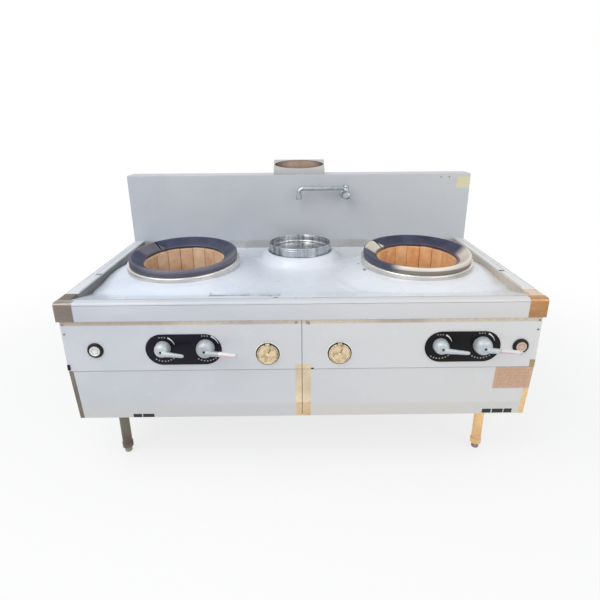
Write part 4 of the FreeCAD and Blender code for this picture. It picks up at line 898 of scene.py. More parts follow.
class Metal(Enum):
    """Bare metals that several pieces share."""

    INNER = BrushedSteel("galvanised_sheet", "8E9092", "6A6B6C", (1, 1, 1), 22.0, 0.45, 0.7)
    COLLAR = BrushedSteel("collar_steel", "CFCCC8", "A59C92", (1, 1, 90), 30.0, 0.28, 0.85, 0.5)
    PAN = BrushedSteel("drawn_pan_steel", "B4B7BC", "5C5046", (1, 1, 0.06), 34.0, 0.20, 0.95, 0.8, 0.12,
                       (7, 7, 0.4))
    LEVER = BrushedSteel("satin_lever_casting", "B2B8BC", "8B9296", (1, 1, 1), 200.0, 0.46, 0.35, 0.6, 0.35)
    CHROME = BrushedSteel("polished_chrome", "A5AAB0", "767C84", (1, 1, 1), 60.0, 0.20, 1.0, 0.3, 0.03)
    LEG = BrushedSteel("leg_tube_steel", "B0A492", "6E6354", (1, 1, 26), 40.0, 0.20, 0.95, 0.6)
    FOOT = BrushedSteel("turned_foot_steel", "8D867C", "4C463F", (1, 1, 60), 60.0, 0.30, 0.9, 0.6)
    # Painted reflection: the steel port covers' warm gold tone stands for the low sun reflected in them.
    GOLD = BrushedSteel("warm_cover_steel", "D6C3A2", "9C8566", (1, 1, 1), 90.0, 0.26, 0.75, 0.75, 0.3,
                        (9, 9, 9))
    BRASS = BrushedSteel("machined_brass", "C29A4E", "8A6A34", (1, 50, 1), 30.0, 0.30, 0.95, 0.4)
    PIPE = BrushedSteel("zinc_pipe", "8C8E90", "5F5E5C", (1, 1, 1), 40.0, 0.42, 0.75, 0.5)
    SCREW = BrushedSteel("zinc_screw", "8E8C88", "5A564F", (1, 1, 1), 200.0, 0.32, 0.9, 0.5)
    BUTTON = BrushedSteel("satin_button_cap", "D4D4D5", "ABA8A6", (1, 1, 60), 60.0, 0.30, 0.7, 0.4)
    BUTTON_ROSE = BrushedSteel("rose_button_cap", "C2A99C", "9A8072", (1, 1, 60), 60.0, 0.32, 0.7, 0.4)


class Skin(Enum):
    """Paints and plastics."""

    PLATE = Enamel("black_print_plate", "050506", "1B1B1F", 0.36, 500.0, 0.25, 0.10, 0.0, 0.2)
    PLATE_BLUE = Enamel("blue_black_print_plate", "0D0A1A", "1E1A2C", 0.36, 500.0, 0.25, 0.10, 0.0, 0.2)
    BEZEL = Enamel("black_bezel_plastic", "070708", "2A2A2C", 0.40, 420.0, 0.15, 0.15, 0.0, 0.3)
    MARK = Enamel("white_plate_print", "DADAD8", "B0AFAC", 0.5, 700.0, 0.1)
    FAINT = Enamel("faint_plate_print", "ACA8A0", "807D78", 0.5, 700.0, 0.3)
    HALO = Enamel("curled_film_edge", "F4F3F1", "E0DAD2", 0.4, 300.0, 0.4, 0.3)
    GROOVE = Enamel("shaded_groove", "6A6866", "8C8986", 0.4, 300.0, 0.4)
    RIM = Enamel("dark_port_rim", "1C1813", "4A4238", 0.40, 300.0, 0.3, 0.2, 0.5)
    MACHINE = Enamel("machine_grey_paint", "3B4248", "7C7F82", 0.46, 260.0, 0.4)
    PRIMER = Enamel("frame_primer", "6A6A6B", "8A8784", 0.55, 260.0, 0.4, 0.25)
    LABEL = Enamel("bare_dark_label", "17181A", "3C3D40", 0.5, 600.0, 0.3)
    TAPE = Enamel("cream_tape", "D8D3B0", "C2B98C", 0.45, 300.0, 0.6, 0.3)


class Shop:
    """Keeps each finish once it is mixed."""

    def __init__(self) -> None:
        """Start with no mixed finish."""
        self._mixed: dict[str, bpy.types.Material] = {}

    def get(self, finish: object) -> bpy.types.Material:
        """The material of a finish.

        Args:
            finish: a finish, or an Enum member that holds one.

        Returns:
            The material, mixed on first use.
        """
        recipe = finish.value if isinstance(finish, Enum) else finish
        if recipe.name not in self._mixed:
            self._mixed[recipe.name] = recipe.mix()
        return self._mixed[recipe.name]


SHOP = Shop()


def dress(piece: Piece, finish: object) -> Piece:
    """Give a whole piece one finish.

    Args:
        piece: the piece to dress.
        finish: its finish.

    Returns:
        The same piece.
    """
    piece.data.materials.clear()
    piece.data.materials.append(SHOP.get(finish))
    for face in piece.data.polygons:
        face.material_index = 0
    return piece


def mount(piece: Piece, finish: object, body: str = "cabinet",
          stands_for: Iterable[str] = ()) -> Piece:
    """Dress a piece, let it ride on its body and say which nodes it stands for.

    Args:
        piece: the finished mesh.
        finish: its finish, or None where its faces are dressed already.
        body: the body it moves with.
        stands_for: nodes that it replaces.

    Returns:
        The same piece.
    """
    if finish is not None:
        dress(piece, finish)
    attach(piece, body)
    for node in stands_for:
        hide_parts(node)
    log.info("%s rides on %s with %d faces", piece.name, body, len(piece.data.polygons))
    return piece

# ------------------------------------------------------------------ worktop
def rounded(corners: Sequence[tuple[float, float]], radius: float,
            steps: int = 4) -> list[tuple[float, float]]:
    """Line through corners with every inner corner bent on a radius.

    Args:
        corners: (a, b) corners of an open line.
        radius: distance from a corner at which its bend starts.
        steps: points across one bend.

    Returns:
        The points of the bent line.
    """
    line = [Vector(c) for c in corners]
    points = [line[0]]
    for before, corner, after in zip(line, line[1:], line[2:]):
        first = corner + (before - corner).normalized() * radius
        last = corner + (after - corner).normalized() * radius
        for i in range(steps + 1):
            t = i / steps
            points.append(first * (1 - t) ** 2 + corner * 2 * t * (1 - t) + last * t ** 2)
    points.append(line[-1])
    return [(p.x, p.y) for p in points]


@dataclass(frozen=True)
class Boss:
    """Raised round boss of the pressed deck."""

    x: float
    depth: float
    base: float
    top: float
    blend: float
    rise: float
    foot: float = 0.005

    def _line(self, radius: float) -> float:
        """Height of the boss at a radius, with straight flanks.

        Args:
            radius: distance from the boss's axis.

        Returns:
            The height.
        """
        stops = ((self.top, self.rise), (self.top + self.blend, self.rise - self.foot),
                 (self.base - self.blend, self.foot), (self.base + self.blend, 0.0))
        if radius <= self.top:
            return self.rise
        for (near, high), (far, low) in zip(stops, stops[1:]):
            if radius <= far:
                return high + (low - high) * (radius - near) / (far - near)
        return 0.0

    def lift(self, x: float, depth: float) -> float:
        """Height of the boss above the deck, with its flanks eased.

        Args:
            x: place along the range.
            depth: depth behind the rail.

        Returns:
            The height.
        """
        radius = math.hypot(x - self.x, depth - self.depth)
        spread = (-0.014, -0.007, 0.0, 0.007, 0.014)
        return sum(self._line(max(0.0, radius + s)) for s in spread) / len(spread)


@dataclass
class Worktop:
    """Pressed deck with its bosses, the front rail and the side curbs."""

    sheet: float = 0.0015
    curb: float = 0.05
    land: float = 0.033
    apron: float = 0.200
    nose: float = 0.012
    rail_height: float = 0.076
    corner: float = 0.097
    columns: int = 250
    rows: int = 126
    lip: float = 0.003
    ease: float = 0.006
    wok_hole: float = 0.2155
    pan_hole: float = 0.1515
    fascia_line: float = 0.7880
    flap_start: float = 0.318
    tear_start: float = 0.340
    film_step: float = 0.0003

    def bosses(self) -> list[Boss]:
        """The three bosses of the deck."""
        wok_depth = PLACE.wok_y - PLACE.front
        pan_depth = PLACE.pan_y - PLACE.front
        woks = [Boss(side * PLACE.wok_x, wok_depth, 0.375, 0.252, 0.024, 0.045)
                for _, side in SIDES]
        return woks + [Boss(0.0, pan_depth, 0.215, 0.168, 0.012, 0.048)]

    def height(self, x: float, depth: float) -> float:
        """Height of the deck's upper face.

        Args:
            x: place along the range.
            depth: depth behind the rail.

        Returns:
            The height.
        """
        share = min(1.0, max(0.0, (self.apron - depth) / (self.apron - self.land)))
        lifts = [(PLACE.top_rail - PLACE.deck) * share] + [boss.lift(x, depth) for boss in self.bosses()]
        highest = max(lifts)
        near = sum(max(0.0, 1 - (highest - lift) / self.ease) ** 2 for lift in lifts) - 1
        return PLACE.deck + highest + (self.ease * 0.18 * near if highest > 0.001 else 0.0)

    def deck(self) -> Piece:
        """Press the deck sheet and punch its three holes.

        Returns:
            The new piece.
        """
        inner = PLACE.half - self.curb - 0.0003
        back = PLACE.splash_depth - 0.0002
        bpy.ops.object.select_all(action="DESELECT")
        bpy.ops.mesh.primitive_grid_add(x_subdivisions=self.columns, y_subdivisions=self.rows, size=1)
        piece = named("worktop_deck")
        piece.scale = (2 * inner, back - self.land, 1)
        piece.location = PLACE.at(0, (back + self.land) / 2, 0)
        bpy.ops.object.transform_apply(location=True, rotation=True, scale=True)
        for vertex in piece.data.vertices:
            vertex.co.z = self.height(vertex.co.x, vertex.co.y - PLACE.front)
        refine(piece, "SOLIDIFY", thickness=self.sheet, offset=-1.0)
        for _, side in SIDES:
            middle = Vector((side * PLACE.wok_x, PLACE.wok_y, PLACE.top_rail))
            drill(piece, rod("well", self.wok_hole, -0.1, 0.1, middle, steps=128))
        middle = Vector((0, PLACE.pan_y, PLACE.top_rail))
        drill(piece, rod("seat", self.pan_hole, -0.1, 0.1, middle, steps=128))
        return smooth(piece, 30)

    def nose_line(self) -> list[tuple[float, float]]:
        """Section of the front rail as (depth, height), middle of the sheet."""
        half, top, low = self.sheet / 2, PLACE.top_rail, PLACE.top_rail - self.rail_height
        bend = arc(self.nose - half, 180, 90, 9, (self.nose, top - self.nose))
        return [(0.032, low + half), (0.004, low + half), (half + 0.0008, low + half + 0.0012),
                (half, low + half + 0.004)] + bend + [(self.land, top - half)]

    def front_rail(self) -> Piece:
        """Bend the front rail and close both of its ends.

        Returns:
            The new piece.
        """
        line = self.nose_line()
        points = [PLACE.at(-PLACE.half + 0.0006, d, z) for d, z in line]
        run = Vector((2 * (PLACE.half - 0.0006), 0, 0))
        parts = [fold("front_rail_sheet", points, run, sheet=self.sheet)]
        for _, side in SIDES:
            corners = [PLACE.at(side * PLACE.half, d, z) for d, z in line]
            corners.append(PLACE.at(side * PLACE.half, self.land, PLACE.top_rail - self.rail_height))
            parts.append(fold("rail_end", corners, Vector((-side * self.sheet, 0, 0)), closed=True))
        return smooth(weld("front_rail_sheet", parts))

    def curb_line(self, side: int) -> list[tuple[float, float]]:
        """Section of a side curb as (x, height), middle of the sheet.

        Args:
            side: -1 on the left, 1 on the right.

        Returns:
            The points of the section.
        """
        half, top, low = self.sheet / 2, PLACE.top_rail, PLACE.top_rail - self.rail_height
        corners = [(PLACE.half - 0.032, low + half), (PLACE.half - half, low + half),
                   (PLACE.half - half, top - half), (PLACE.half - self.curb + half, top - half),
                   (PLACE.half - self.curb + half, PLACE.deck - 0.001)]
        return [(side * x, z) for x, z in rounded(corners, self.lip)]

    def curb_piece(self, name: str, side: int, start: float, end: float) -> Piece:
        """Bend a stretch of the side curb between two depths.

        Args:
            name: the piece's name.
            side: -1 on the left, 1 on the right.
            start: depth of its front end.
            end: depth of its rear end.

        Returns:
            The new piece.
        """
        points = [PLACE.at(x, start, z) for x, z in self.curb_line(side)]
        piece = fold(name, points, Vector((0, end - start, 0)), sheet=self.sheet)
        return smooth(face_out(piece))

    def build(self) -> None:
        """Make and dress the worktop."""
        back = PLACE.splash_depth
        mount(self.deck(), DECK_FILM, stands_for=["deck"])
        mount(self.front_rail(), RAIL_FILM, stands_for=["front_rail"])
        for name, side in SIDES:
            corner = self.curb_piece("rail_corner_" + name, side, self.land, self.corner - 0.0006)
            mount(corner, CORNER_STEEL[name])
            rail = self.curb_piece("side_curb_" + name, side, self.corner, back)
            mount(rail, CURB_FILM, stands_for=["side_rail_" + name])
            self.film_edge(name, side)
        self.film_line("film_line_land", 0.0322, PLACE.top_rail + 0.0001, Vector((0, 0.0014, 0)), 0.0008)
        self.film_line("film_line_fascia", -0.0001, self.fascia_line, Vector((0, 0, 0.0008)), 0.0006)

    def film_line(self, name: str, depth: float, z: float, width: Vector, sway: float) -> None:
        """Wavy dark edge of the delivery film along the front rail, painted as the shadow of its fold.

        Args:
            name: the piece's name.
            depth: its depth behind the rail's face.
            z: its height.
            width: direction and width of the line.
            sway: how far it waves.
        """
        reach, count = PLACE.half - 0.066, 120
        points = []
        for i in range(count + 1):
            wave = sway * math.sin(i * 0.55) * math.sin(i * 0.17 + 1.0)
            points.append(PLACE.at(reach * (2 * i / count - 1), depth, z) + width.normalized() * wave)
        mount(fold(name, points, width, sheet=0.0003), DARK_EDGE)

    def film_edge(self, name: str, side: int) -> None:
        """Raised edges of the delivery film along a curb.

        Args:
            name: left or right.
            side: -1 on the left, 1 on the right.
        """
        back = PLACE.splash_depth
        # The edge line at the curb's inner edge is a painted shadow line; the other two are curled film.
        lines = (("edge", self.curb - 0.0020, self.corner + 0.02, back - 0.004, DARK_EDGE),
                 ("outer", 0.0044, self.corner + 0.01, back - 0.02, CURB_LINE),
                 ("tear", 0.0230, self.tear_start, back - 0.05, CURB_LINE))
        for kind, inset, start, end, finish in lines:
            self.film_strip("film_%s_%s" % (kind, name), side, (inset, inset - 0.0013), (start, end), finish)
        self.film_strip("film_flap_" + name, side, (0.024, self.curb - 0.003),
                        (self.flap_start, self.flap_start + 0.018), CURB_LINE)

    def film_strip(self, name: str, side: int, insets: tuple[float, float], run: tuple[float, float],
                   finish: Enamel) -> None:
        """Thin strip of film on the top of a curb.

        Args:
            name: the piece's name.
            side: -1 on the left, 1 on the right.
            insets: its two edges, from the end of the range inwards.
            run: depths at which it starts and ends.
            finish: its finish.
        """
        low, high = sorted(side * (PLACE.half - inset) for inset in insets)
        strip = block(name, PLACE.at(low, run[0], PLACE.top_rail - 2 * self.film_step),
                      PLACE.at(high, run[1], PLACE.top_rail + self.film_step), 0.0002)
        mount(strip, finish)


# ------------------------------------------------------------------ backsplash and flue
@dataclass
class Backsplash:
    """Upright rear face with its top and ends, and the flue outlet on it."""

    sheet: float = 0.0012
    depth: float = 0.105
    flue_half: float = 0.133
    flue_depth: float = 0.096
    flue_front: float = 0.029
    flue_rear: float = 0.069
    margin: float = 0.0045
    riser_half: float = 0.1235
    riser_depth: float = 0.087

    def face(self) -> Piece:
        """Bend the face and top and close both ends.

        Returns:
            The new piece.
        """
        half = self.sheet / 2
        front = PLACE.splash_depth
        top = PLACE.splash_top
        line = rounded([(front + half, PLACE.deck - 0.001), (front + half, top - half),
                        (front + self.depth - half, top - half)], 0.0035)
        points = [PLACE.at(-PLACE.half + 0.0004, d, z) for d, z in line]
        skin = fold("backsplash_face", points, Vector((2 * PLACE.half - 0.0008, 0, 0)),
                    sheet=self.sheet)
        middle = front + self.depth / 2
        riser = block("riser", PLACE.at(-self.riser_half, middle - self.riser_depth / 2, top - 0.1),
                      PLACE.at(self.riser_half, middle + self.riser_depth / 2, top + 0.1))
        parts = [drill(face_out(skin), riser)]
        low = PLACE.top_rail - 0.076
        for _, side in SIDES:
            outline = line + [(front + self.depth, low), (front, low)]
            corners = [PLACE.at(side * PLACE.half, d, z) for d, z in outline]
            parts.append(fold("end", corners, Vector((-side * self.sheet, 0, 0)), closed=True))
        return smooth(weld("backsplash_face", parts))

    def outlet(self) -> Piece:
        """Box with a sloping top and an oval mouth.

        Returns:
            The new piece.
        """
        low = PLACE.splash_top + 0.0002
        front = PLACE.splash_depth + (self.depth - self.flue_depth) / 2
        back = front + self.flue_depth
        wall = 0.0015
        outer = [(front, low), (front, low + self.flue_front), (back, low + self.flue_rear), (back, low)]
        inner = [(front + wall, low - wall), (front + wall, low + self.flue_front - wall),
                 (back - wall, low + self.flue_rear - wall), (back - wall, low - wall)]
        piece = fold("flue_outlet_box", [PLACE.at(-self.flue_half, d, z) for d, z in outer],
                     Vector((2 * self.flue_half, 0, 0)), closed=True)
        round_edges(piece, 0.0012)
        inside = self.flue_half - wall
        drill(piece, fold("hollow", [PLACE.at(-inside, d, z) for d, z in inner],
                          Vector((2 * inside, 0, 0)), closed=True))
        mouth = rod("mouth", 1, 0, 0.2, ORIGIN, steps=96)
        mouth.scale = (self.flue_half - self.margin, self.flue_depth / 2 - self.margin, 1)
        mouth.location = PLACE.at(0, (front + back) / 2, low)
        alone(mouth)
        bpy.ops.object.transform_apply(location=True, rotation=True, scale=True)
        return smooth(drill(piece, mouth), 25)

    def bare_inside(self, outlet: Piece) -> None:
        """Give the faces inside the outlet their bare steel, painted warm brown as if lit by low sunlight.

        Args:
            outlet: the outlet box.
        """
        outlet.data.materials.append(SHOP.get(FLUE_SUNLIT))
        front = PLACE.splash + (self.depth - self.flue_depth) / 2
        slope = (self.flue_rear - self.flue_front) / self.flue_depth
        for face in outlet.data.polygons:
            x, y, z = face.center
            within = min(self.flue_half - abs(x), y - front, front + self.flue_depth - y) > 0.0008
            if within and z < PLACE.splash_top + self.flue_front + slope * (y - front) - 0.0006:
                face.material_index = 1

    def build(self) -> None:
        """Make and dress the backsplash."""
        mount(self.face(), SPLASH_FILM, stands_for=["splash_front"])
        outlet = self.outlet()
        mount(outlet, FLUE_FILM, stands_for=["flue_outlet"])
        self.bare_inside(outlet)
        front = PLACE.splash_depth
        patch = block("tape_patch", PLACE.at(0.829, front - 0.0006, 1.074),
                      PLACE.at(0.8985, front + 0.0001, 1.134), 0.0002)
        mount(patch, Skin.TAPE)
        for x in (0.745, 0.789):
            hole = lathe("splash_plug", ((0, -0.0004), (0.0032, -0.0004), (0.0032, 0.0004), (0.002, 0.0009),
                                         (0, 0.0009)), PLACE.at(x, front, 1.132), Aim.FRONT, 16)
            hole.name = "splash_plug_%d" % round(x * 1000)
            mount(hole, Skin.RIM)


# ------------------------------------------------------------------ wok stations
@dataclass
class WokStation:
    """Cast ring on its collar, with the fire bricks round the flame."""

    name: str
    side: int
    tilt: float = 3.5
    rise: float = 0.064
    radius: float = 0.236
    wall: float = 0.028
    inner: float = 0.177
    drop: float = 0.027
    lip: float = 0.010
    seat: float = 0.216
    slot: float = 0.004
    collar: float = 0.246
    collar_sheet: float = 0.002
    bricks: int = 18
    brick_inner: float = 0.170
    brick_outer: float = 0.2125
    hearth: float = 0.4835
    joint: float = 0.0016
    window_run: tuple[float, float] = (0.5065, 0.6135)
    window_low: float = 0.647
    window_high: float = 0.704

    def centre(self, z: float) -> Vector:
        """Point on the station's upright axis."""
        return Vector((self.side * PLACE.wok_x, PLACE.wok_y, z))

    def seat_matrix(self) -> Matrix:
        """From a ring lying flat at the origin to its tilted seat."""
        turn = Matrix.Rotation(math.radians(self.tilt), 4, "X")
        return Matrix.Translation(self.centre(PLACE.top_rail + self.rise)) @ turn

    def ring(self) -> Piece:
        """Turn the cast ring, split it and round its edges.

        Returns:
            The new piece.
        """
        outline = [(self.radius - 0.006, 0.0), (self.radius - 0.0015, -0.0015), (self.radius, -0.006),
                   (self.radius, -self.wall), (self.seat, -self.wall),
                   (self.inner + 0.012, -self.drop - self.lip), (self.inner, -self.drop - self.lip),
                   (self.inner, -self.drop - 0.003), (self.inner + 0.004, -self.drop + 0.001),
                   (self.radius - 0.016, -0.0022), (self.radius - 0.0125, 0.0)]
        piece = lathe("cast_ring_" + self.name, outline, ORIGIN, steps=128)
        middle = (self.inner + self.radius) / 2
        cutter = block("split", Vector((middle - 0.05, -self.slot / 2, -0.06)),
                       Vector((middle + 0.05, self.slot / 2, 0.02)))
        carry(cutter, Matrix.Rotation(math.radians(SPLIT_ANGLE), 4, "Z"))
        drill(piece, cutter)
        round_edges(piece, 0.0008, 2, 50)
        return smooth(carry(piece, self.seat_matrix()), 28)

    def collar_piece(self) -> Piece:
        """Upright sheet collar with a rolled bead under the ring.

        Returns:
            The new piece.
        """
        top = -self.wall - 0.0004
        r, t = self.collar, self.collar_sheet
        bead = arc(0.006, 0, 90, 6, (r - 0.006, top - 0.006))
        outline = [(r, -0.09)] + bead + [(r - 0.028, top), (r - 0.028, top - t), (r - 0.007, top - t),
                                         (r - t, top - 0.008), (r - t, -0.09)]
        piece = lathe("ring_collar_" + self.name, outline, ORIGIN, steps=128)
        carry(piece, self.seat_matrix())
        edit(piece)
        bpy.ops.mesh.select_all(action="SELECT")
        bpy.ops.mesh.bisect(plane_co=self.centre(PLACE.top_rail + 0.0024), plane_no=(0, 0, 1),
                            clear_inner=True, use_fill=True)
        done()
        return smooth(piece, 30)

    def brick_top(self) -> float:
        """Height of the bricks on the axis, 3 mm under the lip of the ring."""
        fall = (self.drop + self.lip + 0.003) / math.cos(math.radians(self.tilt))
        return PLACE.top_rail + self.rise - fall

    def brick_wall(self) -> Piece:
        """Upright wedge bricks round the chamber on their hearth ring.

        Returns:
            The new piece.
        """
        base = self.hearth + 0.018
        half = math.pi / self.bricks
        inner, outer = self.brick_inner, self.brick_outer
        inside, outside = half - self.joint / 2 / inner, half - self.joint / 2 / outer
        corners = [Vector((r * math.cos(a), r * math.sin(a), base))
                   for r, a in ((inner, -inside), (outer, -outside), (outer, 0), (outer, outside),
                                (inner, inside), (inner, 0))]
        first = fold("brick", corners, Vector((0, 0, self.brick_top() - base)), closed=True)
        round_edges(first, 0.0022, 2, 40)
        parts = []
        for index in range(self.bricks):
            turn = Matrix.Rotation(2 * half * index, 4, "Z")
            settle = 0.0012 * math.sin(index * 2.4 + self.side)
            parts.append(copied(first, "brick_%d" % index,
                                Matrix.Translation(self.centre(settle - 0.0013)) @ turn))
        bpy.data.objects.remove(first)
        for part in parts:
            for vertex in part.data.vertices:
                if vertex.co.z > base + 0.1:
                    vertex.co.z += math.tan(math.radians(self.tilt)) * (vertex.co.y - PLACE.wok_y)
        low, high = sorted((self.side * 0.22, self.side * PLACE.wok_x))
        near, far = self.window_run
        for part in parts:
            across, away = ([corner[axis] for corner in part.bound_box] for axis in (0, 1))
            if max(across) > low + MM and min(across) < high - MM and max(away) > PLACE.front + near + MM:
                drill(part, block("window", PLACE.at(low, near, self.window_low),
                                  PLACE.at(high, far, self.window_high)))
        hearth = lathe("hearth", ((0.096, 0), (outer, 0), (outer, 0.0178), (0.100, 0.0178), (0.096, 0.014)),
                       self.centre(self.hearth), steps=72)
        return smooth(weld("fire_bricks_" + self.name, parts + [hearth]), 35)

    def build(self) -> None:
        """Make and dress one station."""
        ring_body = "wok_ring_" + self.name
        mount(self.ring(), CAST_RING[self.name], ring_body, [ring_body])
        mount(self.brick_wall(), FIRE_BRICK[self.name], "cabinet",
              ["brick_ring_" + self.name])
        collar_nodes = ["ring_collars"] if self.side < 0 else []
        mount(self.collar_piece(), Metal.COLLAR, "cabinet", collar_nodes)


@dataclass
class WaterPan:
    """Shallow drawn pan with a rolled rim between the woks."""

    radius: float = 0.150
    wall: float = 0.0015
    rim: float = 0.003
    second: float = 0.0022
    corner: float = 0.010
    top: float = 0.845
    floor: float = 0.807
    low: float = 0.775

    def build(self) -> None:
        """Make and dress the pan."""
        r, t = self.radius, self.wall
        bead = arc(self.rim, -60, 210, 15, (r, self.top - self.rim))
        second = arc(self.second, -70, 70, 7, (r, self.top - 0.0125))
        inside = [(r - t, self.top - 0.010), (r - t - 0.0015, self.top - 0.0115),
                  (r - t - 0.0015, self.top - 0.0135), (r - t, self.top - 0.015)]
        fillet = arc(self.corner, 0, -90, 6, (r - t - self.corner, self.floor + self.corner))
        outline = [(r - t, self.low), (r, self.low), (r, 0.8052), (r + 0.006, 0.8054), (r + 0.006, 0.8068),
                   (r, 0.8072)] + second + bead + inside + fillet
        outline += [(0.060, self.floor + 0.0004), (0.0, self.floor + 0.0008), (0.0, self.floor - t),
                    (r - t - 0.004, self.floor - t)]
        piece = lathe("water_pan_drawn", outline, Vector((0, PLACE.pan_y, 0)), steps=128)
        mount(smooth(piece, 30), Metal.PAN, "water_pan", ["water_pan"])
        # Painted shadow: a dark ring on the deck round the pan's flange, for the shade in the seat gap.
        seat = Vector((0, PLACE.pan_y, PLACE.deck + 0.0481))
        inner, outer = r + 0.0060, r + 0.0092
        gap = lathe("pan_seat_gap", ((inner, 0.0), (outer, 0.0), (outer - 0.0002, 0.0004), (inner, 0.0006)),
                    seat, steps=128)
        mount(gap, Skin.RIM)


# ------------------------------------------------------------------ controls
@dataclass
class Lever:
    """Domed cap with a side arm that flows out of it."""

    body: str
    x: float
    cap: float
    arm: float
    height: float = STEM_Z
    back: float = 0.0006
    cap_height: float = 0.040
    skirt: float = 0.012
    drop: float = 0.003
    reach: float = 0.0676
    tip: float = 0.006

    def start(self) -> Vector:
        """Root of the arm inside the cap."""
        return PLACE.at(self.x, -self.back - 0.033, self.height - 0.007)

    def end(self) -> Vector:
        """Middle of the arm's round tip."""
        return PLACE.at(self.x + self.arm - self.tip, self.tip - self.reach, self.height - self.drop)

    def casting(self) -> Piece:
        """Cap and arm melted into one casting.

        Returns:
            The new piece.
        """
        rise = self.cap_height - self.skirt
        outline = [(0.0, 0.0), (self.cap, 0.0), (self.cap, self.skirt)]
        outline += [(self.cap * across ** 0.6, self.skirt + rise * up) for across, up in arc(1, 10, 80, 7)]
        outline.append((0.0, self.cap_height))
        cap = lathe("cap", outline, PLACE.at(self.x, -self.back, self.height), Aim.FRONT, 64)
        run = self.end() - self.start()
        length = run.length
        limb = [(0.0, -0.002), (0.0105, 0.0), (0.0105, length * 0.25), (0.0088, length * 0.45),
                (0.0078, length * 0.65), (0.0074, length * 0.85), (0.0066, length)]
        limb += arc(self.tip, 15, 75, 4, (0, length)) + [(0.0, length + self.tip)]
        arm = lathe("arm", limb, self.start(), run, 32)
        piece = weld(self.body + "_casting", [cap, arm])
        refine(piece, "REMESH", mode="VOXEL", voxel_size=0.0013)
        refine(piece, "SMOOTH", factor=0.5, iterations=9)
        refine(piece, "DECIMATE", ratio=0.5)
        face = PLACE.at(self.x, -self.back - self.cap_height + 0.003, self.height)
        drill(piece, rod("dimple", 0.005, 0, 0.02, face, Aim.FRONT))
        return smooth(piece, 50)

    def stem(self) -> Piece:
        """Screw in the cap's dimple and the stem behind the plate."""
        front = PLACE.at(self.x, -self.back - self.cap_height + 0.0036, self.height)
        head = lathe("head", ((0, -0.003), (0.0047, -0.003), (0.0047, 0.0004), (0.004, 0.0014), (0, 0.0018)),
                     front, Aim.FRONT, 20)
        shaft = lathe("shaft", ((0, 0), (0.006, 0), (0.006, 0.0335), (0.005, 0.0345), (0, 0.0345)),
                      PLACE.at(self.x, -self.back, self.height), Aim.BACK, 24)
        return smooth(weld(self.body + "_screw", [head, shaft]))

    def sleeve(self) -> Piece:
        """Film left round the outer half of a long arm."""
        run = self.end() - self.start()
        length = run.length
        outline = [(0.0088, length * 0.47), (0.0099, length * 0.46), (0.0084, length * 0.72),
                   (0.0074, length * 0.90), (0.0064, length * 0.99), (0.0058, length * 0.985),
                   (0.0066, length * 0.88), (0.0074, length * 0.71)]
        return smooth(lathe(self.body + "_film", outline, self.start(), run, 28))

    def build(self, wrapped: bool) -> None:
        """Make and dress one lever.

        Args:
            wrapped: whether delivery film is still on its arm.
        """
        mount(self.casting(), Metal.LEVER, self.body, [self.body])
        mount(self.stem(), Skin.BEZEL, self.body)
        if wrapped:
            mount(self.sleeve(), WrapFilm("wrap_film_" + self.body, self.x + self.arm * 0.42,
                                          self.x + self.arm), self.body)


@dataclass
class ControlPlate:
    """Black round-ended plate with its white print of arcs and ticks."""

    name: str
    x: float
    stems: tuple[float, float]
    height: float = CONTROL_Z
    length: float = 0.285
    width: float = 0.126
    face: float = 0.001
    back: float = 0.0039
    stem_height: float = STEM_Z
    tick_ring: float = 0.0575

    def plate(self) -> Piece:
        """Punch the plate with its two stem holes.

        Returns:
            The new piece.
        """
        radius = self.width / 2
        straight = (self.length - self.width) / 2
        right = [(straight + a, b) for a, b in arc(radius, -90, 90, 24)]
        left = [(-straight + a, b) for a, b in arc(radius, 90, 270, 24)]
        corners = [PLACE.at(self.x + a, self.back, self.height + b) for a, b in right + left]
        piece = fold("control_plate_" + self.name, corners, Vector((0, self.face - self.back, 0)),
                     closed=True)
        round_edges(piece, 0.0008)
        for x in self.stems:
            drill(piece, rod("hole", 0.0075, -0.02, 0.02, PLACE.at(x, 0, self.stem_height),
                             Aim.FRONT, 32))
        return smooth(piece)

    def swoosh(self, x: float, radius: float, start: float, end: float, thick: float) -> Piece:
        """Arc that tapers from a broad head to a fine tail.

        Args:
            x: middle of the lever it belongs to.
            radius: middle radius.
            start: angle of the broad end, in degrees.
            end: angle of the fine end.
            thick: width of the broad end.

        Returns:
            The raised print.
        """
        steps = 16
        outer, inner = [], []
        for i in range(steps + 1):
            t = i / steps
            a = math.radians(start + (end - start) * t)
            half = thick / 2 * (1 - 0.85 * t)
            outer.append((math.cos(a) * (radius + half), math.sin(a) * (radius + half)))
            inner.append((math.cos(a) * (radius - half), math.sin(a) * (radius - half)))
        corners = [PLACE.at(x + a, self.face, self.stem_height + b) for a, b in outer + inner[::-1]]
        return fold("swoosh", corners, Vector((0, -0.0002, 0)), closed=True)

    def tick(self, x: float, z: float, wide: float, high: float) -> Piece:
        """Small upright bar of print."""
        return block("tick", PLACE.at(x - wide / 2, self.face - 0.0002, z - high / 2),
                     PLACE.at(x + wide / 2, self.face, z + high / 2))

    def print_work(self) -> tuple[Piece, Piece]:
        """The bright arcs and the fainter ticks of the plate's print."""
        arcs, ticks = [], []
        for x, radius in zip(self.stems, (0.044, 0.049)):
            arcs.append(self.swoosh(x, radius, 64.0, 16.0, 0.0064))
            for i in (-1, 0, 1):
                ticks.append(self.tick(x + i * 0.010 - 0.002, self.stem_height + radius - 0.003,
                                       0.0044, 0.0038))
            ticks += [self.tick(a, b, 0.0048, 0.0046)
                      for a, b in arc(self.tick_ring, 238, 307, 6, (x, self.stem_height))]
        return weld("plate_arcs_" + self.name, arcs), weld("plate_ticks_" + self.name, ticks)

    def build(self, first: bool) -> None:
        """Make and dress the plate.

        Args:
            first: whether it stands for the node of both plates.
        """
        skin = Skin.PLATE_BLUE if first else Skin.PLATE
        mount(self.plate(), skin, "cabinet", ["control_plates"] if first else [])
        arcs, ticks = self.print_work()
        mount(arcs, Skin.MARK)
        mount(ticks, Skin.FAINT)


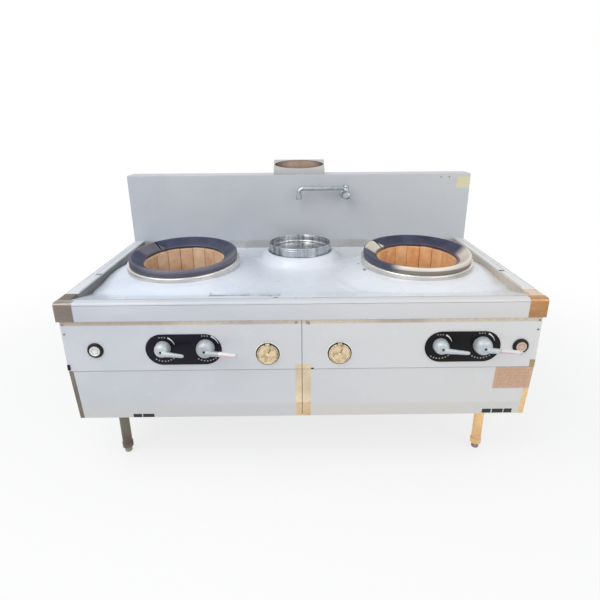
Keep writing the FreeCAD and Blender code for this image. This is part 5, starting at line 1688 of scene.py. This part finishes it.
@dataclass
class PushButton:
    """Round push button in its black bezel."""

    name: str
    x: float
    finish: Enum
    height: float = CONTROL_Z
    panel: float = 0.004
    bezel: float = 0.030
    proud: float = 0.008
    cap: float = 0.020

    def build(self, first: bool) -> None:
        """Make and dress bezel and button.

        Args:
            first: whether it stands for the node of both bezels.
        """
        b = self.bezel
        outline = [(self.cap + 0.0004, -0.030), (0.023, -0.044), (0.023, -0.0002), (b, 0.0), (b, 0.0030),
                   (b - 0.0012, 0.0058), (b - 0.0045, self.proud), (self.cap + 0.0030, self.proud),
                   (self.cap + 0.0004, self.proud - 0.0030)]
        bezel = lathe("bezel_" + self.name, outline, PLACE.at(self.x, self.panel, self.height),
                      Aim.FRONT, 64)
        mount(smooth(bezel, 30), Skin.BEZEL, "cabinet",
              ["button_bezels"] if first else [])
        front = self.proud + 0.003
        c = self.cap
        cap = lathe("button_cap_" + self.name,
                    [(0, front - 0.020), (c, front - 0.020), (c, front - 0.0022),
                     (c - 0.0006, front - 0.0006), (c - 0.0022, front), (c - 0.0050, front),
                     (c - 0.0062, front - 0.0010),
                     (0.0065, front - 0.0014), (0.0058, front - 0.0022), (0, front - 0.0022)],
                    PLACE.at(self.x, self.panel, self.height), Aim.FRONT, 64)
        node = "button_" + self.name
        mount(smooth(cap, 30), self.finish, node, [node])
        groove = lathe("button_ring_" + self.name,
                       ((0.0112, 0.0), (0.0124, 0.0), (0.0124, 0.0004), (0.0112, 0.0004)),
                       PLACE.at(self.x, self.panel - front + 0.0014, self.height), Aim.FRONT, 48)
        mount(groove, Skin.GROOVE, node)


@dataclass
class LightingPort:
    """Rim with hinge lugs and the dished cover that hangs in front of it."""

    name: str
    x: float
    height: float = 0.585
    panel: float = 0.004
    rim: float = 0.045
    hole: float = 0.033
    rim_height: float = 0.004
    cover: float = 0.041
    sheet: float = 0.002
    pin_rise: float = 0.0425
    knuckle: float = 0.0032
    dash_ring: float = 0.0368
    mark_ring: float = 0.0250

    def pin(self) -> Vector:
        """Middle of the hinge pin."""
        depth = self.panel - self.rim_height - 0.0004 - self.knuckle
        return PLACE.at(self.x, depth, self.height + self.pin_rise)

    def ring(self) -> Piece:
        """Rim, lugs and pin.

        Returns:
            The new piece.
        """
        outline = [(self.hole, 0), (self.rim, 0), (self.rim, 0.0028), (self.rim - 0.0012, self.rim_height),
                   (self.hole + 0.001, self.rim_height), (self.hole, self.rim_height - 0.001)]
        parts = [lathe("rim", outline, PLACE.at(self.x, self.panel, self.height), Aim.FRONT, 72)]
        for side in (-1, 1):
            near = self.pin().x + side * 0.0084
            low, high = sorted((near, near + side * 0.0035))
            parts.append(rod("lug", self.knuckle, 0, 0.0035, Vector((low, self.pin().y, self.pin().z)),
                             Aim.RIGHT))
            parts.append(block("lug_foot", Vector((low, self.pin().y, self.pin().z - self.knuckle)),
                               Vector((high, PLACE.front + self.panel, self.pin().z + self.knuckle)),
                               0.0003))
        parts.append(rod("pin", 0.0016, -0.0119, 0.0119, self.pin(), Aim.RIGHT, 16))
        return smooth(weld("port_rim_" + self.name, parts))

    def disc(self) -> Piece:
        """Dished cover with its knuckle and finger tab.

        Returns:
            The new piece.
        """
        c, s = self.cover, self.sheet
        outline = [(0, -0.0025), (0.030, -0.0025), (0.0345, 0.0), (c, 0.0), (c, s - 0.0005),
                   (c - 0.0006, s), (0.0335, s), (0.0295, -0.0006), (0.006, -0.0004), (0.006, s + 0.0042),
                   (0.0052, s + 0.005), (0.0, s + 0.005)]
        base = PLACE.at(self.x, self.panel - self.rim_height - 0.0004, self.height)
        dish = lathe("dish", outline, base, Aim.FRONT, 80)
        for side in (-1, 1):
            low, high = sorted((side * 0.008, side * 0.0125))
            drill(dish, block("gap", self.pin() + Vector((low, -0.006, -0.0042)),
                              self.pin() + Vector((high, 0.006, 0.0042))))
        knuckle = lathe("knuckle", ((0.0017, -0.008), (self.knuckle, -0.008), (self.knuckle, 0.008),
                                    (0.0017, 0.008)), self.pin(), Aim.RIGHT, 24)
        tab = block("tab", base + Vector((-0.005, -s - 0.005, -c + 0.003)),
                    base + Vector((0.005, -0.0002, -c + 0.009)), 0.0008)
        return smooth(weld("port_cover_disc_" + self.name, [dish, knuckle, tab]))

    def marks(self) -> Piece:
        """Dark ring with a gap, a pointer line and rim ticks.

        Returns:
            The new piece.
        """
        base = PLACE.at(self.x, self.panel - self.rim_height - 0.0004 - self.sheet, self.height)
        parts = []
        for a, b in arc(self.dash_ring, -62, 242, 43):
            spot = base + Vector((a, 0, b))
            parts.append(block("dash", spot + Vector((-0.0011, -0.0002, -0.0011)),
                               spot + Vector((0.0011, 0.0002, 0.0011))))
        for a, b in arc(self.mark_ring, 205, 335, 1):
            spot = base + Vector((a, 0.0021, b))
            parts.append(block("mark", spot + Vector((-0.0020, -0.0002, -0.0012)),
                               spot + Vector((0.0020, 0.0006, 0.0012))))
        pointer = block("pointer", Vector((-0.0012, -0.0002, 0.0)), Vector((0.0012, 0.0006, 0.022)))
        lean = Matrix.Rotation(math.radians(28), 4, "Y")
        parts.append(carry(pointer, Matrix.Translation(base + Vector((0, 0.0021, 0))) @ lean))
        return weld("port_marks_" + self.name, parts)

    def build(self, first: bool) -> None:
        """Make and dress one lighting port.

        Args:
            first: whether it stands for the node of both rims.
        """
        node = "port_cover_" + self.name
        mount(self.ring(), Skin.RIM, "cabinet", ["port_rings"] if first else [])
        mount(self.disc(), Metal.GOLD, node, [node])
        mount(self.marks(), Skin.RIM, node)
        halo = lathe("port_film_edge_" + self.name,
                     ((0.0452, 0.0), (0.0488, 0.0), (0.0484, 0.0004), (0.0456, 0.0005)),
                     PLACE.at(self.x, self.panel, self.height), Aim.FRONT, 72)
        mount(halo, Skin.HALO)


# ------------------------------------------------------------------ faucet
@dataclass
class Faucet:
    """Wall faucet with a knob and a swing spout."""

    x: float = 0.240
    height: float = 1.052
    stand: float = 0.060
    spout_z: float = 1.086
    reach: float = 0.243
    drop: float = 0.056
    flute_ring: float = 0.0222

    def body(self) -> Piece:
        """Flange, barrel, riser and collar nuts.

        Returns:
            The new piece.
        """
        wall = PLACE.splash_depth
        at_wall = PLACE.at(self.x, wall, self.height)
        outline = [(0.0, -0.079), (0.010, -0.079), (0.010, 0.0), (0.027, 0.0), (0.027, 0.002),
                   (0.0245, 0.0044), (0.0195, 0.005), (0.0150, 0.0090), (0.0150, 0.030), (0.0178, 0.034),
                   (0.0178, 0.0655), (0.0165, 0.0775), (0.0062, 0.0778), (0.0062, 0.060), (0.0, 0.060)]
        barrel = lathe("barrel", outline, at_wall, Aim.FRONT, 48)
        riser = lathe("riser", ((0.0, 0.0), (0.011, 0.0), (0.011, 0.0186), (0.0054, 0.0186), (0.0054, 0.0338),
                                (0.0, 0.0338)), PLACE.at(self.x, wall - self.stand, self.height),
                      Aim.UP, 32)
        return smooth(weld("faucet_barrel", [barrel, riser]), 28)

    def knob(self) -> Piece:
        """Fluted hand knob with a cap.

        Returns:
            The new piece.
        """
        wall = PLACE.splash_depth
        outline = [(0.0, 0.0), (0.0150, 0.0), (0.0182, 0.003), (0.0195, 0.0065), (0.0195, 0.0170),
                   (0.0175, 0.0215), (0.0110, 0.0228), (0.0100, 0.0240), (0.0, 0.0240)]
        base = PLACE.at(self.x, wall - 0.0784, self.height)
        piece = lathe("faucet_hand_knob", outline, base, Aim.FRONT, 72)
        for a, b in arc(self.flute_ring, 22.5, 337.5, 7):
            drill(piece, rod("flute", 0.0052, 0, 0.05, base + Vector((a, 0.01, b)), Aim.FRONT))
        stem = rod("stem", 0.006, 0, 0.0118, base, Aim.BACK)
        return smooth(weld("faucet_hand_knob", [piece, stem]), 28)

    def spout(self) -> Piece:
        """Swivel nut, level tube and turned-down outlet.

        Returns:
            The new piece.
        """
        depth = PLACE.splash_depth - self.stand
        tip_x = self.x - self.reach
        route = [PLACE.at(self.x, depth, self.spout_z), PLACE.at(tip_x, depth, self.spout_z),
                 PLACE.at(tip_x, depth, self.spout_z - self.drop)]
        tube = pipe("tube", route, 0.0112, 0.024)
        nut = lathe("nut", ((0.0056, -0.015), (0.013, -0.015), (0.015, -0.013), (0.015, -0.002),
                            (0.0138, 0.0), (0.015, 0.002), (0.015, 0.011), (0.0125, 0.015),
                            (0.0, 0.016), (0.0, 0.0), (0.0056, 0.0)),
                    PLACE.at(self.x, depth, self.spout_z), Aim.UP, 12)
        tip = lathe("tip", ((0.0095, 0.0), (0.0135, 0.0), (0.0150, 0.0016), (0.0150, 0.0090),
                            (0.0142, 0.0100), (0.0150, 0.0112), (0.0150, 0.0215),
                            (0.0125, 0.0240), (0.0105, 0.0240)),
                    PLACE.at(tip_x, depth, self.spout_z - self.drop), Aim.UP, 40)
        return smooth(weld("faucet_swing_spout", [tube, nut, tip]), 32)

    def build(self) -> None:
        """Make and dress the faucet."""
        mount(self.body(), Metal.CHROME, "cabinet", ["faucet_body"])
        mount(self.knob(), Metal.CHROME, "faucet_knob", ["faucet_knob"])
        mount(self.spout(), Metal.CHROME, "faucet_spout", ["faucet_spout"])


# ------------------------------------------------------------------ stand and small parts
@dataclass
class Stand:
    """Leg tubes with their plates and the turned levelling feet."""

    spread: float = 0.790
    depths: tuple[float, float] = (0.190, 0.810)
    tube: float = 0.021
    wall: float = 0.0015
    plate: float = 0.004
    plate_half: float = 0.045
    low: float = 0.0264

    def leg(self, x: float, depth: float) -> Piece:
        """One leg with its collar and plate.

        Args:
            x: place along the range.
            depth: depth behind the rail.

        Returns:
            The new piece.
        """
        top = PLACE.panel_bottom
        length = top - self.plate - self.low
        bore = self.tube - self.wall
        outline = [(0.0062, 0.0), (0.0228, 0.0), (0.0235, 0.0012), (0.0235, 0.0232), (0.0222, 0.0260),
                   (self.tube, 0.0266), (self.tube, length), (bore, length), (bore, 0.0260), (0.0062, 0.0260)]
        tube = lathe("tube", outline, PLACE.at(x, depth, self.low), Aim.UP, 48)
        plate = block("plate", PLACE.at(x - self.plate_half, depth - self.plate_half, top - self.plate),
                      PLACE.at(x + self.plate_half, depth + self.plate_half, top), 0.0008)
        bolts = []
        for i, j in ((-1, -1), (-1, 1), (1, -1), (1, 1)):
            bolts.append(lathe("bolt", ((0, 0), (0.0055, 0), (0.0055, 0.003), (0.004, 0.004), (0, 0.004)),
                               PLACE.at(x + i * 0.034, depth + j * 0.034, top - 0.0039), Aim.DOWN, 6))
        seam = ((self.tube - 0.0005, 0), (self.tube + 0.003, 0), (self.tube + 0.0012, -0.0015),
                (self.tube - 0.0005, -0.003))
        weld_seam = lathe("weld", seam, PLACE.at(x, depth, top - self.plate), Aim.UP, 48)
        return weld("leg", [tube, plate, weld_seam] + bolts)

    def foot(self, name: str, x: float, depth: float) -> Piece:
        """Turned foot with a grip groove and its threaded stem.

        Args:
            name: the foot's node.
            x: place along the range.
            depth: depth behind the rail.

        Returns:
            The new piece.
        """
        outline = [(0.0, 0.0), (0.0125, 0.0), (0.0145, 0.0012), (0.0160, 0.0042), (0.0160, 0.0100),
                   (0.0152, 0.0108), (0.0152, 0.0122), (0.0160, 0.0130), (0.0160, 0.0218), (0.0142, 0.0252),
                   (0.0125, 0.0259), (0.0060, 0.0259), (0.0060, 0.0590), (0.0, 0.0596)]
        piece = lathe("foot_turned_" + name, outline, PLACE.at(x, depth, 0), Aim.UP, 40)
        return smooth(piece, 28)

    def build(self) -> None:
        """Make and dress legs and feet."""
        for name, side in SIDES:
            legs = []
            for end, depth in zip(("front", "rear"), self.depths):
                x = side * self.spread
                legs.append(self.leg(x, depth))
                node = "foot_%s_%s" % (name, end)
                mount(self.foot(node, x, depth), Metal.FOOT, node, [node])
            pair = smooth(weld("leg_pair_" + name, legs), 30)
            finish = LEG_LEFT if side < 0 else LEG_RIGHT
            mount(pair, finish, "cabinet", ["legs"] if side < 0 else [])


@dataclass
class PanelTrim:
    """Screws, catch, blank labels and sticker, and the shadow line and notch at the panel seam."""

    screw: float = 0.0045
    panel: float = 0.004
    reach: float = 0.8885

    def places(self) -> list[tuple[float, float]]:
        """Middle of every panel screw as (x, height)."""
        found = []
        for _, side in SIDES:
            found += [(side * x, 0.714) for x in (0.021, 0.879)]
            found.append((side * 0.879, 0.676))
        return found

    def screws(self) -> Piece:
        """Pan heads with cross slots.

        Returns:
            The new piece.
        """
        outline = ((0, -0.010), (0.002, -0.010), (0.002, 0.0), (self.screw, 0.0002),
                   (self.screw - 0.0004, 0.0012), (0.0028, 0.0021), (0.0, 0.0022))
        first = lathe("screw", outline, ORIGIN, Aim.FRONT, 20)
        for long, short in ((0.0052, 0.0009), (0.0009, 0.0052)):
            drill(first, block("slot", Vector((-long / 2, -0.004, -short / 2)),
                               Vector((long / 2, -0.0010, short / 2))))
        parts = [copied(first, "screw_%d" % i, Matrix.Translation(PLACE.at(x, self.panel, z)))
                 for i, (x, z) in enumerate(self.places())]
        bpy.data.objects.remove(first)
        return smooth(weld("panel_screw_heads", parts))

    def card(self, name: str, x0: float, x1: float, z0: float, z1: float, depth: float, finish: object,
             lean: float = 0.0) -> None:
        """Thin blank card stuck on a front panel.

        Args:
            name: the card's name.
            x0: left edge.
            x1: right edge.
            z0: lower edge.
            z1: upper edge.
            depth: depth of the panel behind its upper edge.
            finish: its finish.
            lean: how far the panel has gone back at the lower edge.
        """
        corners = [PLACE.at(x0, depth - 0.0001, z1), PLACE.at(x0, depth + lean - 0.0001, z0),
                   PLACE.at(x1, depth + lean - 0.0001, z0), PLACE.at(x1, depth - 0.0001, z1)]
        card = fold(name, corners, Vector((0, -0.0004, 0)), closed=True)
        mount(card, finish)

    def lower_depth(self, z: float) -> float:
        """Depth of the leaning lower panels at a height."""
        return 0.006 + 0.020 * (0.520 - z) / (0.520 - PLACE.panel_bottom)

    def on_lower(self, name: str, x0: float, x1: float, z0: float, z1: float, finish: object) -> None:
        """Card on the leaning lower panel."""
        depth = self.lower_depth(z1)
        self.card(name, x0, x1, z0, z1, depth, finish, self.lower_depth(z0) - depth)

    def build(self) -> None:
        """Make and dress the small parts."""
        mount(self.screws(), Metal.SCREW, "cabinet", ["panel_screws"])
        self.on_lower("blank_label_left_a", -0.676, -0.642, 0.295, 0.311, Skin.LABEL)
        self.on_lower("blank_label_left_b", -0.638, -0.593, 0.295, 0.311, Skin.LABEL)
        for index, (x0, x1) in enumerate(((0.722, 0.757), (0.762, 0.805), (0.809, 0.841))):
            self.on_lower("blank_label_right_%d" % index, x0, x1, 0.298, 0.317, Skin.LABEL)
        self.on_lower("blank_sticker", *STICKER.x, *STICKER.z, STICKER)
        reach = self.reach
        seam = block("panel_seam_shadow", PLACE.at(-reach, 0.0046, 0.5186), PLACE.at(reach, 0.0061, 0.5201))
        mount(seam, SEAM_SHADOW)
        notch = block("seam_notch", PLACE.at(0.034, 0.0036, 0.5185), PLACE.at(0.045, 0.0045, 0.5245), 0.0002)
        mount(notch, Skin.BEZEL)
        catch = block("panel_catch", PLACE.at(-reach, -0.0010, 0.526),
                      PLACE.at(0.0095 - reach, 0.0042, 0.548), 0.0010)
        mount(catch, Skin.RIM)


# ------------------------------------------------------------------ finishes of this range
@dataclass(frozen=True)
class WrapFilm:
    """White film with a rose band that fades towards the tip."""

    name: str
    start: float
    end: float

    def mix(self) -> bpy.types.Material:
        """Mix the material."""
        paint = Paint(self.name)
        x_value, _, z_value = paint.axes()
        wave = paint.noise(120.0, 3.0, (1, 1, 3))
        along = x_value.between(self.start, self.end)
        height = z_value + wave * 0.003
        band = height.between(0.6118, 0.6126) * height.between(0.6158, 0.6150)
        rose = paint.mix(along, tone("D8577C"), tone("F0CBD4"))
        colour = paint.mix(band * 0.9, tone("D8D5D6"), rose)
        return paint.finish(Base_Color=colour, Roughness=wave * 0.2 + 0.28, Coat_Weight=0.4,
                            Normal=paint.bump(wave, 0.4, 0.6 * MM))


@dataclass(frozen=True)
class LinedCard:
    """Blank pale card with faint ruled lines and a tinted head."""

    name: str
    base: str
    line: str
    x: tuple[float, float]
    z: tuple[float, float]
    margin: float = 0.0115
    head: float = 0.0095

    def mix(self) -> bpy.types.Material:
        """Mix the material."""
        paint = Paint(self.name)
        rows = paint.node("ShaderNodeMath", {"operation": "SINE"}, {0: paint.axes()[2] * 900.0})
        lined = paint.zone(Zone(self.line, x=(self.x[0] + self.margin, self.x[1] - self.margin),
                                z=(self.z[0] + self.head, self.z[1] - self.head), soft=0.003))
        cloud = paint.noise(90.0, 3.0)
        colour = paint.mix(rows.between(0.3, 0.9) * lined * 0.35, tone(self.base), tone(self.line))
        colour = paint.mix(cloud.between(0.45, 0.8) * 0.25, colour, tone("F4E9E2"))
        return paint.finish(Base_Color=colour, Roughness=cloud * 0.2 + 0.42)


LAND = PLACE.front
DECK_FILM = FilmSheet("deck_film", "DCE4F0", "CAD4E3", "F0EFEE",
                      marks=(Zone("6B6F78", x=(-0.36, -0.08), y=(LAND + 0.10, LAND + 0.16)),
                             Zone("22242A", x=(-0.128, -0.110), y=(LAND + 0.072, LAND + 0.100), soft=0.002),
                             Zone("22242A", x=(-0.106, -0.088), y=(LAND + 0.040, LAND + 0.064), soft=0.002),
                             Zone("303238", x=(0.258, 0.270), y=(LAND + 0.428, LAND + 0.452), soft=0.002),
                             Zone("303238", x=(0.272, 0.284), y=(LAND + 0.344, LAND + 0.368), soft=0.002)),
                      creases=0.22, stretch=(1.0, 1.6, 1.0), gloss=0.30)
# Painted light: the rail's bare ends are one steel, dark on the left as in shade and warm tan on the right as
# in low sunlight.
RAIL_FILM = FilmSheet("rail_film", "CBCED6", "BFC4CE", "DEDAD4",
                      bare=(Zone("8A7E76", x=(None, -0.832), soft=0.004, share=0.6),
                            Zone("B58452", x=(0.832, None), soft=0.004, share=0.6)),
                      marks=(Zone("1E2024", x=(-0.034, -0.018), y=(LAND + 0.022, LAND + 0.034), soft=0.002),),
                      creases=0.4, stretch=(1.0, 3.0, 3.0))
# Painted light: the curbs' bare inner faces are one steel, dark on the left as in shade and cream on the
# right as in low sunlight.
CURB_FILM = FilmSheet("curb_film", "DADDE3", "C8CDD6", "EFEAE2",
                      bare=(Zone("77756F", x=(None, 0.0), z=(None, 0.797), soft=0.002),
                            Zone("BFB5A6", x=(0.0, None), z=(None, 0.797), soft=0.002, share=0.3)),
                      marks=(Zone("6E737A", x=(-0.826, -0.808), y=(LAND + 0.28, LAND + 0.315), soft=0.003),),
                      creases=0.4, stretch=(3.0, 1.0, 3.0))
# Painted light: both corners are one bare steel, dark brown on the left as in shade and pale tan on the right
# as in low sunlight.
CORNER_STEEL = {
    "left": BrushedSteel("corner_steel_left", "5C524A", "2C2622", (6, 6, 1), 30.0, 0.34, 0.6, 0.9),
    "right": BrushedSteel("corner_steel_right", "D9BDA0", "4A3426", (6, 6, 1), 30.0, 0.34, 0.4, 0.8)}
# The right ring gets the full painted sunlit patch; the left one, in shade, a trace of it.
CAST_RING = {"left": CastIron("cast_iron_left", middle=-PLACE.wok_x, painted_sun=0.12),
             "right": CastIron("cast_iron_right", "262940", middle=PLACE.wok_x, painted_sun=1.0)}
# Painted light: both chambers hold the same fire clay, paler and greyer on the left as in shade and more
# orange on the right as in low sunlight.
FIRE_BRICK = {"left": FireBrick("fire_clay_left", "DFBE9E", "EBD6BC", "C89A76"),
              "right": FireBrick("fire_clay_right", "F2BC88", "F6D2A4", "DC9054")}
DARK_EDGE = Enamel("film_edge_shadow", "55504A", "8A837A", 0.5, 200.0, 0.6)
CURB_LINE = Enamel("curled_film_line", "6C7488", "A9B0BE", 0.5, 200.0, 0.7)
SEAM_SHADOW = Enamel("seam_shadow", "4E4D4C", "7C7A77", 0.6, 200.0, 0.5)
SPLASH_FILM = FilmSheet("backsplash_film", "BBBFC5", "B2B7BF", "C7C8C9",
                        bare=(Zone("BEBEBD", z=(None, 0.800), soft=0.003, share=0.5),),
                        creases=0.30, stretch=(1.0, 1.0, 1.6))
FLUE_FILM = FilmSheet("flue_film", "BCBDBE", "AFB1B3", "C4C1BB", creases=0.25)
# Bare steel inside the flue; its warm brown is painted sunlight on the inner rear wall.
FLUE_SUNLIT = BrushedSteel("flue_sunlit_steel", "B29A8A", "6E5A50", (1, 1, 1), 30.0, 0.34, 0.3, 0.7)
PANEL_FILM = FilmSheet("front_panel_film", "CBCED4", "C3C7CE", "E4E1DD",
                       bare=(Zone("EAD0AE", x=(-0.026, 0.034), z=(None, 0.541), soft=0.002, share=0.2),
                             Zone("D4B690", x=(-0.026, 0.034), z=(None, 0.360), soft=0.004, share=0.2),
                             Zone("BDB1A2", z=(0.7090, None), soft=0.006, share=0.3),
                             # Painted light: the panels' bare end strips are one steel, dark on the left as
                             # in shade and pale gold on the right as in low sunlight.
                             Zone("6E6659", x=(None, -0.872), z=(None, 0.520), soft=0.002, share=0.4),
                             Zone("DDB884", x=(0.868, None), z=(None, 0.520), soft=0.002, share=0.4),
                             Zone("9A8A5A", x=(0.868, None), z=(0.520, 0.550), soft=0.002, share=0.4)),
                       washes=(Zone("C9C9C8", x=(-0.871, -0.0265), z=(None, 0.358), soft=0.010, share=0.7),
                               Zone("D2CEC6", x=(0.0345, 0.867), z=(None, 0.352), soft=0.010, share=0.7)),
                       marks=(Zone("8A5A34", x=(-0.028, -0.014), z=(0.705, 0.722), soft=0.002),
                              Zone("8A5A34", x=(0.014, 0.030), z=(0.705, 0.722), soft=0.002)),
                       creases=0.34, stretch=(1.0, 1.0, 1.3))
SIDE_FILM = FilmSheet("side_panel_film", "C6C9CF", "BBC0C8", "CFCDC8", creases=0.34)
REAR_FILM = FilmSheet("rear_panel_sheet", "B8BABD", "A8ABB0", "BDB9B3", creases=0.2)
STICKER = LinedCard("ruled_sticker", "CBA48A", "9C6450", (0.744, 0.8885), (0.418, 0.5185))
# Painted light: both leg pairs are one steel, dark grey on the left as in shade and pale gold on the right as
# in low sunlight.
LEG_LEFT = BrushedSteel("leg_steel_left", "6E685E", "46413A", (1, 1, 26), 40.0, 0.24, 0.9)
LEG_RIGHT = BrushedSteel("leg_steel_right", "E6BE8C", "A98254", (1, 1, 26), 40.0, 0.24, 0.9)

KEPT_FINISHES: dict[str, object] = {
    "film_steel": SIDE_FILM, "plain_steel": Metal.INNER, "frame_steel": Skin.PRIMER,
    "leg_steel": Metal.LEG, "foot_steel": Metal.FOOT, "cast_iron": CastIron(),
    "collar_steel": Metal.COLLAR, "fire_brick": FireBrick(), "machine_paint": Skin.MACHINE,
    "pan_steel": Metal.PAN, "plate_black": Skin.PLATE, "lever_metal": Metal.LEVER,
    "brass": Metal.BRASS, "pipe_steel": Metal.PIPE, "bezel_black": Skin.BEZEL,
    "button_metal": Metal.BUTTON, "port_rim": Skin.RIM, "cover_gold": Metal.GOLD,
    "chrome": Metal.CHROME, "screw_steel": Metal.SCREW}
KEPT_BY_NODE: dict[str, object] = {
    "upper_panel_left": PANEL_FILM, "upper_panel_right": PANEL_FILM,
    "lower_panel_left": PANEL_FILM, "lower_panel_right": PANEL_FILM,
    "side_panel_left": SIDE_FILM, "side_panel_right": SIDE_FILM,
    "splash_rear_cover": REAR_FILM, "back_panel": REAR_FILM, "flue_riser": FLUE_SUNLIT}


def dress_kept_nodes() -> None:
    """Give every CAD node the finish of its material slot."""
    slots = {part["node"]: part["material_slot"] for part in frame["record"]["subparts"]}
    for node, piece in frame["nodes"].items():
        finish = KEPT_BY_NODE.get(node, KEPT_FINISHES[slots[node]])
        piece.data.materials.clear()
        piece.data.materials.append(SHOP.get(finish))


# ------------------------------------------------------------------ studio
@dataclass
class Studio:
    """Camera, soft lamps, white surroundings and a pale floor."""

    focal: float = 27.24
    shift: float = -0.0411
    eye: Point = (-0.0146, -0.466 - 1.5218, 1.4164)
    pitch: float = 0.32814
    yaw: float = 0.00615
    roll: float = -0.00774
    ambient: float = 0.58
    key: float = 62.0
    fill: float = 27.0

    def camera(self) -> None:
        """Set the camera at the photograph's place."""
        ahead = Vector((math.sin(self.yaw) * math.cos(self.pitch), math.cos(self.yaw) * math.cos(self.pitch),
                        -math.sin(self.pitch)))
        right = Vector((math.cos(self.yaw), -math.sin(self.yaw), 0))
        up = right.cross(ahead)
        across = math.cos(self.roll) * right + math.sin(self.roll) * up
        upward = -math.sin(self.roll) * right + math.cos(self.roll) * up
        bpy.ops.object.camera_add()
        camera = bpy.context.object
        camera.name = "photo_camera"
        turn = Matrix((across, upward, -ahead)).transposed().to_4x4()
        camera.matrix_world = Matrix.Translation(Vector(self.eye)) @ turn
        camera.data.lens = self.focal
        camera.data.sensor_width = 36.0
        camera.data.shift_y = self.shift
        bpy.context.scene.camera = camera

    def lamp(self, name: str, place: Point, size: float, power: float, colour: Colour) -> None:
        """Square soft lamp that looks at the worktop.

        Args:
            name: the lamp's name.
            place: where it hangs.
            size: side of the square.
            power: its watts.
            colour: its colour.
        """
        bpy.ops.object.light_add(type="AREA", location=place)
        lamp = bpy.context.object
        lamp.name = name
        lamp.data.shape = "SQUARE"
        lamp.data.size = size
        lamp.data.energy = power
        lamp.data.color = colour
        aim = Vector((0, 0, 0.8)) - Vector(place)
        lamp.rotation_euler = aim.to_track_quat("-Z", "Y").to_euler()

    def world(self) -> None:
        """White surroundings for the eye and for reflections, soft grey for light."""
        world = bpy.data.worlds.new("studio_white")
        bpy.context.scene.world = world
        world.use_nodes = True
        tree = world.node_tree
        tree.nodes.clear()
        output = tree.nodes.new("ShaderNodeOutputWorld")
        mixer = tree.nodes.new("ShaderNodeMixShader")
        grey, white = (tree.nodes.new("ShaderNodeBackground") for _ in range(2))
        grey.inputs[0].default_value = (0.93, 0.96, 1.0, 1)
        grey.inputs[1].default_value = self.ambient
        white.inputs[0].default_value = (1, 1, 1, 1)
        white.inputs[1].default_value = 1.0
        tree.links.new(self.seen(tree), mixer.inputs[0])
        tree.links.new(grey.outputs[0], mixer.inputs[1])
        tree.links.new(white.outputs[0], mixer.inputs[2])
        tree.links.new(mixer.outputs[0], output.inputs[0])

    @staticmethod
    def seen(tree: bpy.types.NodeTree) -> bpy.types.NodeSocket:
        """1 for camera, glossy and transmission rays, 0 for the others.

        Args:
            tree: node tree that gets the nodes.

        Returns:
            The socket that holds the value.
        """
        path = tree.nodes.new("ShaderNodeLightPath")
        value = path.outputs["Is Camera Ray"]
        for kind in ("Is Glossy Ray", "Is Transmission Ray"):
            most = tree.nodes.new("ShaderNodeMath")
            most.operation = "MAXIMUM"
            tree.links.new(value, most.inputs[0])
            tree.links.new(path.outputs[kind], most.inputs[1])
            value = most.outputs[0]
        return value

    def floor(self) -> None:
        """Round pale floor that turns into the white surroundings at its rim."""
        bpy.ops.object.select_all(action="DESELECT")
        bpy.ops.mesh.primitive_circle_add(vertices=96, radius=9.0, fill_type="NGON", location=(0, 0, 0))
        floor = named("studio_floor")
        paint = Paint("studio_floor_white")
        x_value, y_value, _ = paint.axes()
        spread = (x_value * x_value + y_value * y_value) ** 0.5
        cloud = paint.noise(2.0)
        paint.finish(Base_Color=paint.mix(cloud, (0.92, 0.92, 0.92), (0.90, 0.90, 0.90)), Roughness=0.9,
                     Specular_IOR_Level=0.1)
        glow = paint.tree.nodes.new("ShaderNodeEmission")
        glow.inputs[0].default_value = (1, 1, 1, 1)
        seen = Field(paint, self.seen(paint.tree))
        share = (spread.between(1.2, 3.2) * 0.25 + 0.75) * seen
        mixer = paint.tree.nodes.new("ShaderNodeMixShader")
        paint.feed(mixer.inputs[0], share)
        paint.tree.links.new(paint.surface.outputs[0], mixer.inputs[1])
        paint.tree.links.new(glow.outputs[0], mixer.inputs[2])
        paint.tree.links.new(mixer.outputs[0], paint.output.inputs[0])
        floor.data.materials.append(paint.material)

    def build(self) -> None:
        """Set up the whole studio."""
        self.camera()
        self.lamp("key_lamp", (-1.6, -1.8, 3.2), 2.6, self.key, (1.0, 0.99, 0.97))
        self.lamp("fill_lamp", (2.4, -2.4, 2.2), 2.6, self.fill, (1.0, 0.98, 0.95))
        self.world()
        self.floor()
        bpy.context.scene.view_settings.view_transform = "Standard"


def main() -> None:
    """Build the range in order and report its pieces."""
    logging.basicConfig(level=logging.INFO, format="%(name)s: %(message)s")
    bpy.ops.object.select_all(action="DESELECT")
    dress_kept_nodes()
    Worktop().build()
    Backsplash().build()
    for name, side in SIDES:
        WokStation(name, side).build()
    WaterPan().build()
    Faucet().build()
    for name, x, pilot, main_x in (("left", -0.443, -0.518, -0.359), ("right", 0.604, 0.518, 0.674)):
        ControlPlate(name, x, (pilot, main_x)).build(name == "left")
        Lever("pilot_lever_" + name, pilot, 0.029, 0.091).build(False)
        Lever("main_lever_" + name, main_x, 0.034, 0.127).build(True)
    PushButton("left", -0.773, Metal.BUTTON).build(True)
    PushButton("right", 0.823, Metal.BUTTON_ROSE).build(False)
    LightingPort("left", -0.129).build(True)
    LightingPort("right", 0.142).build(False)
    Stand().build()
    PanelTrim().build()
    Studio().build()


if __name__ == "__main__":
    main()
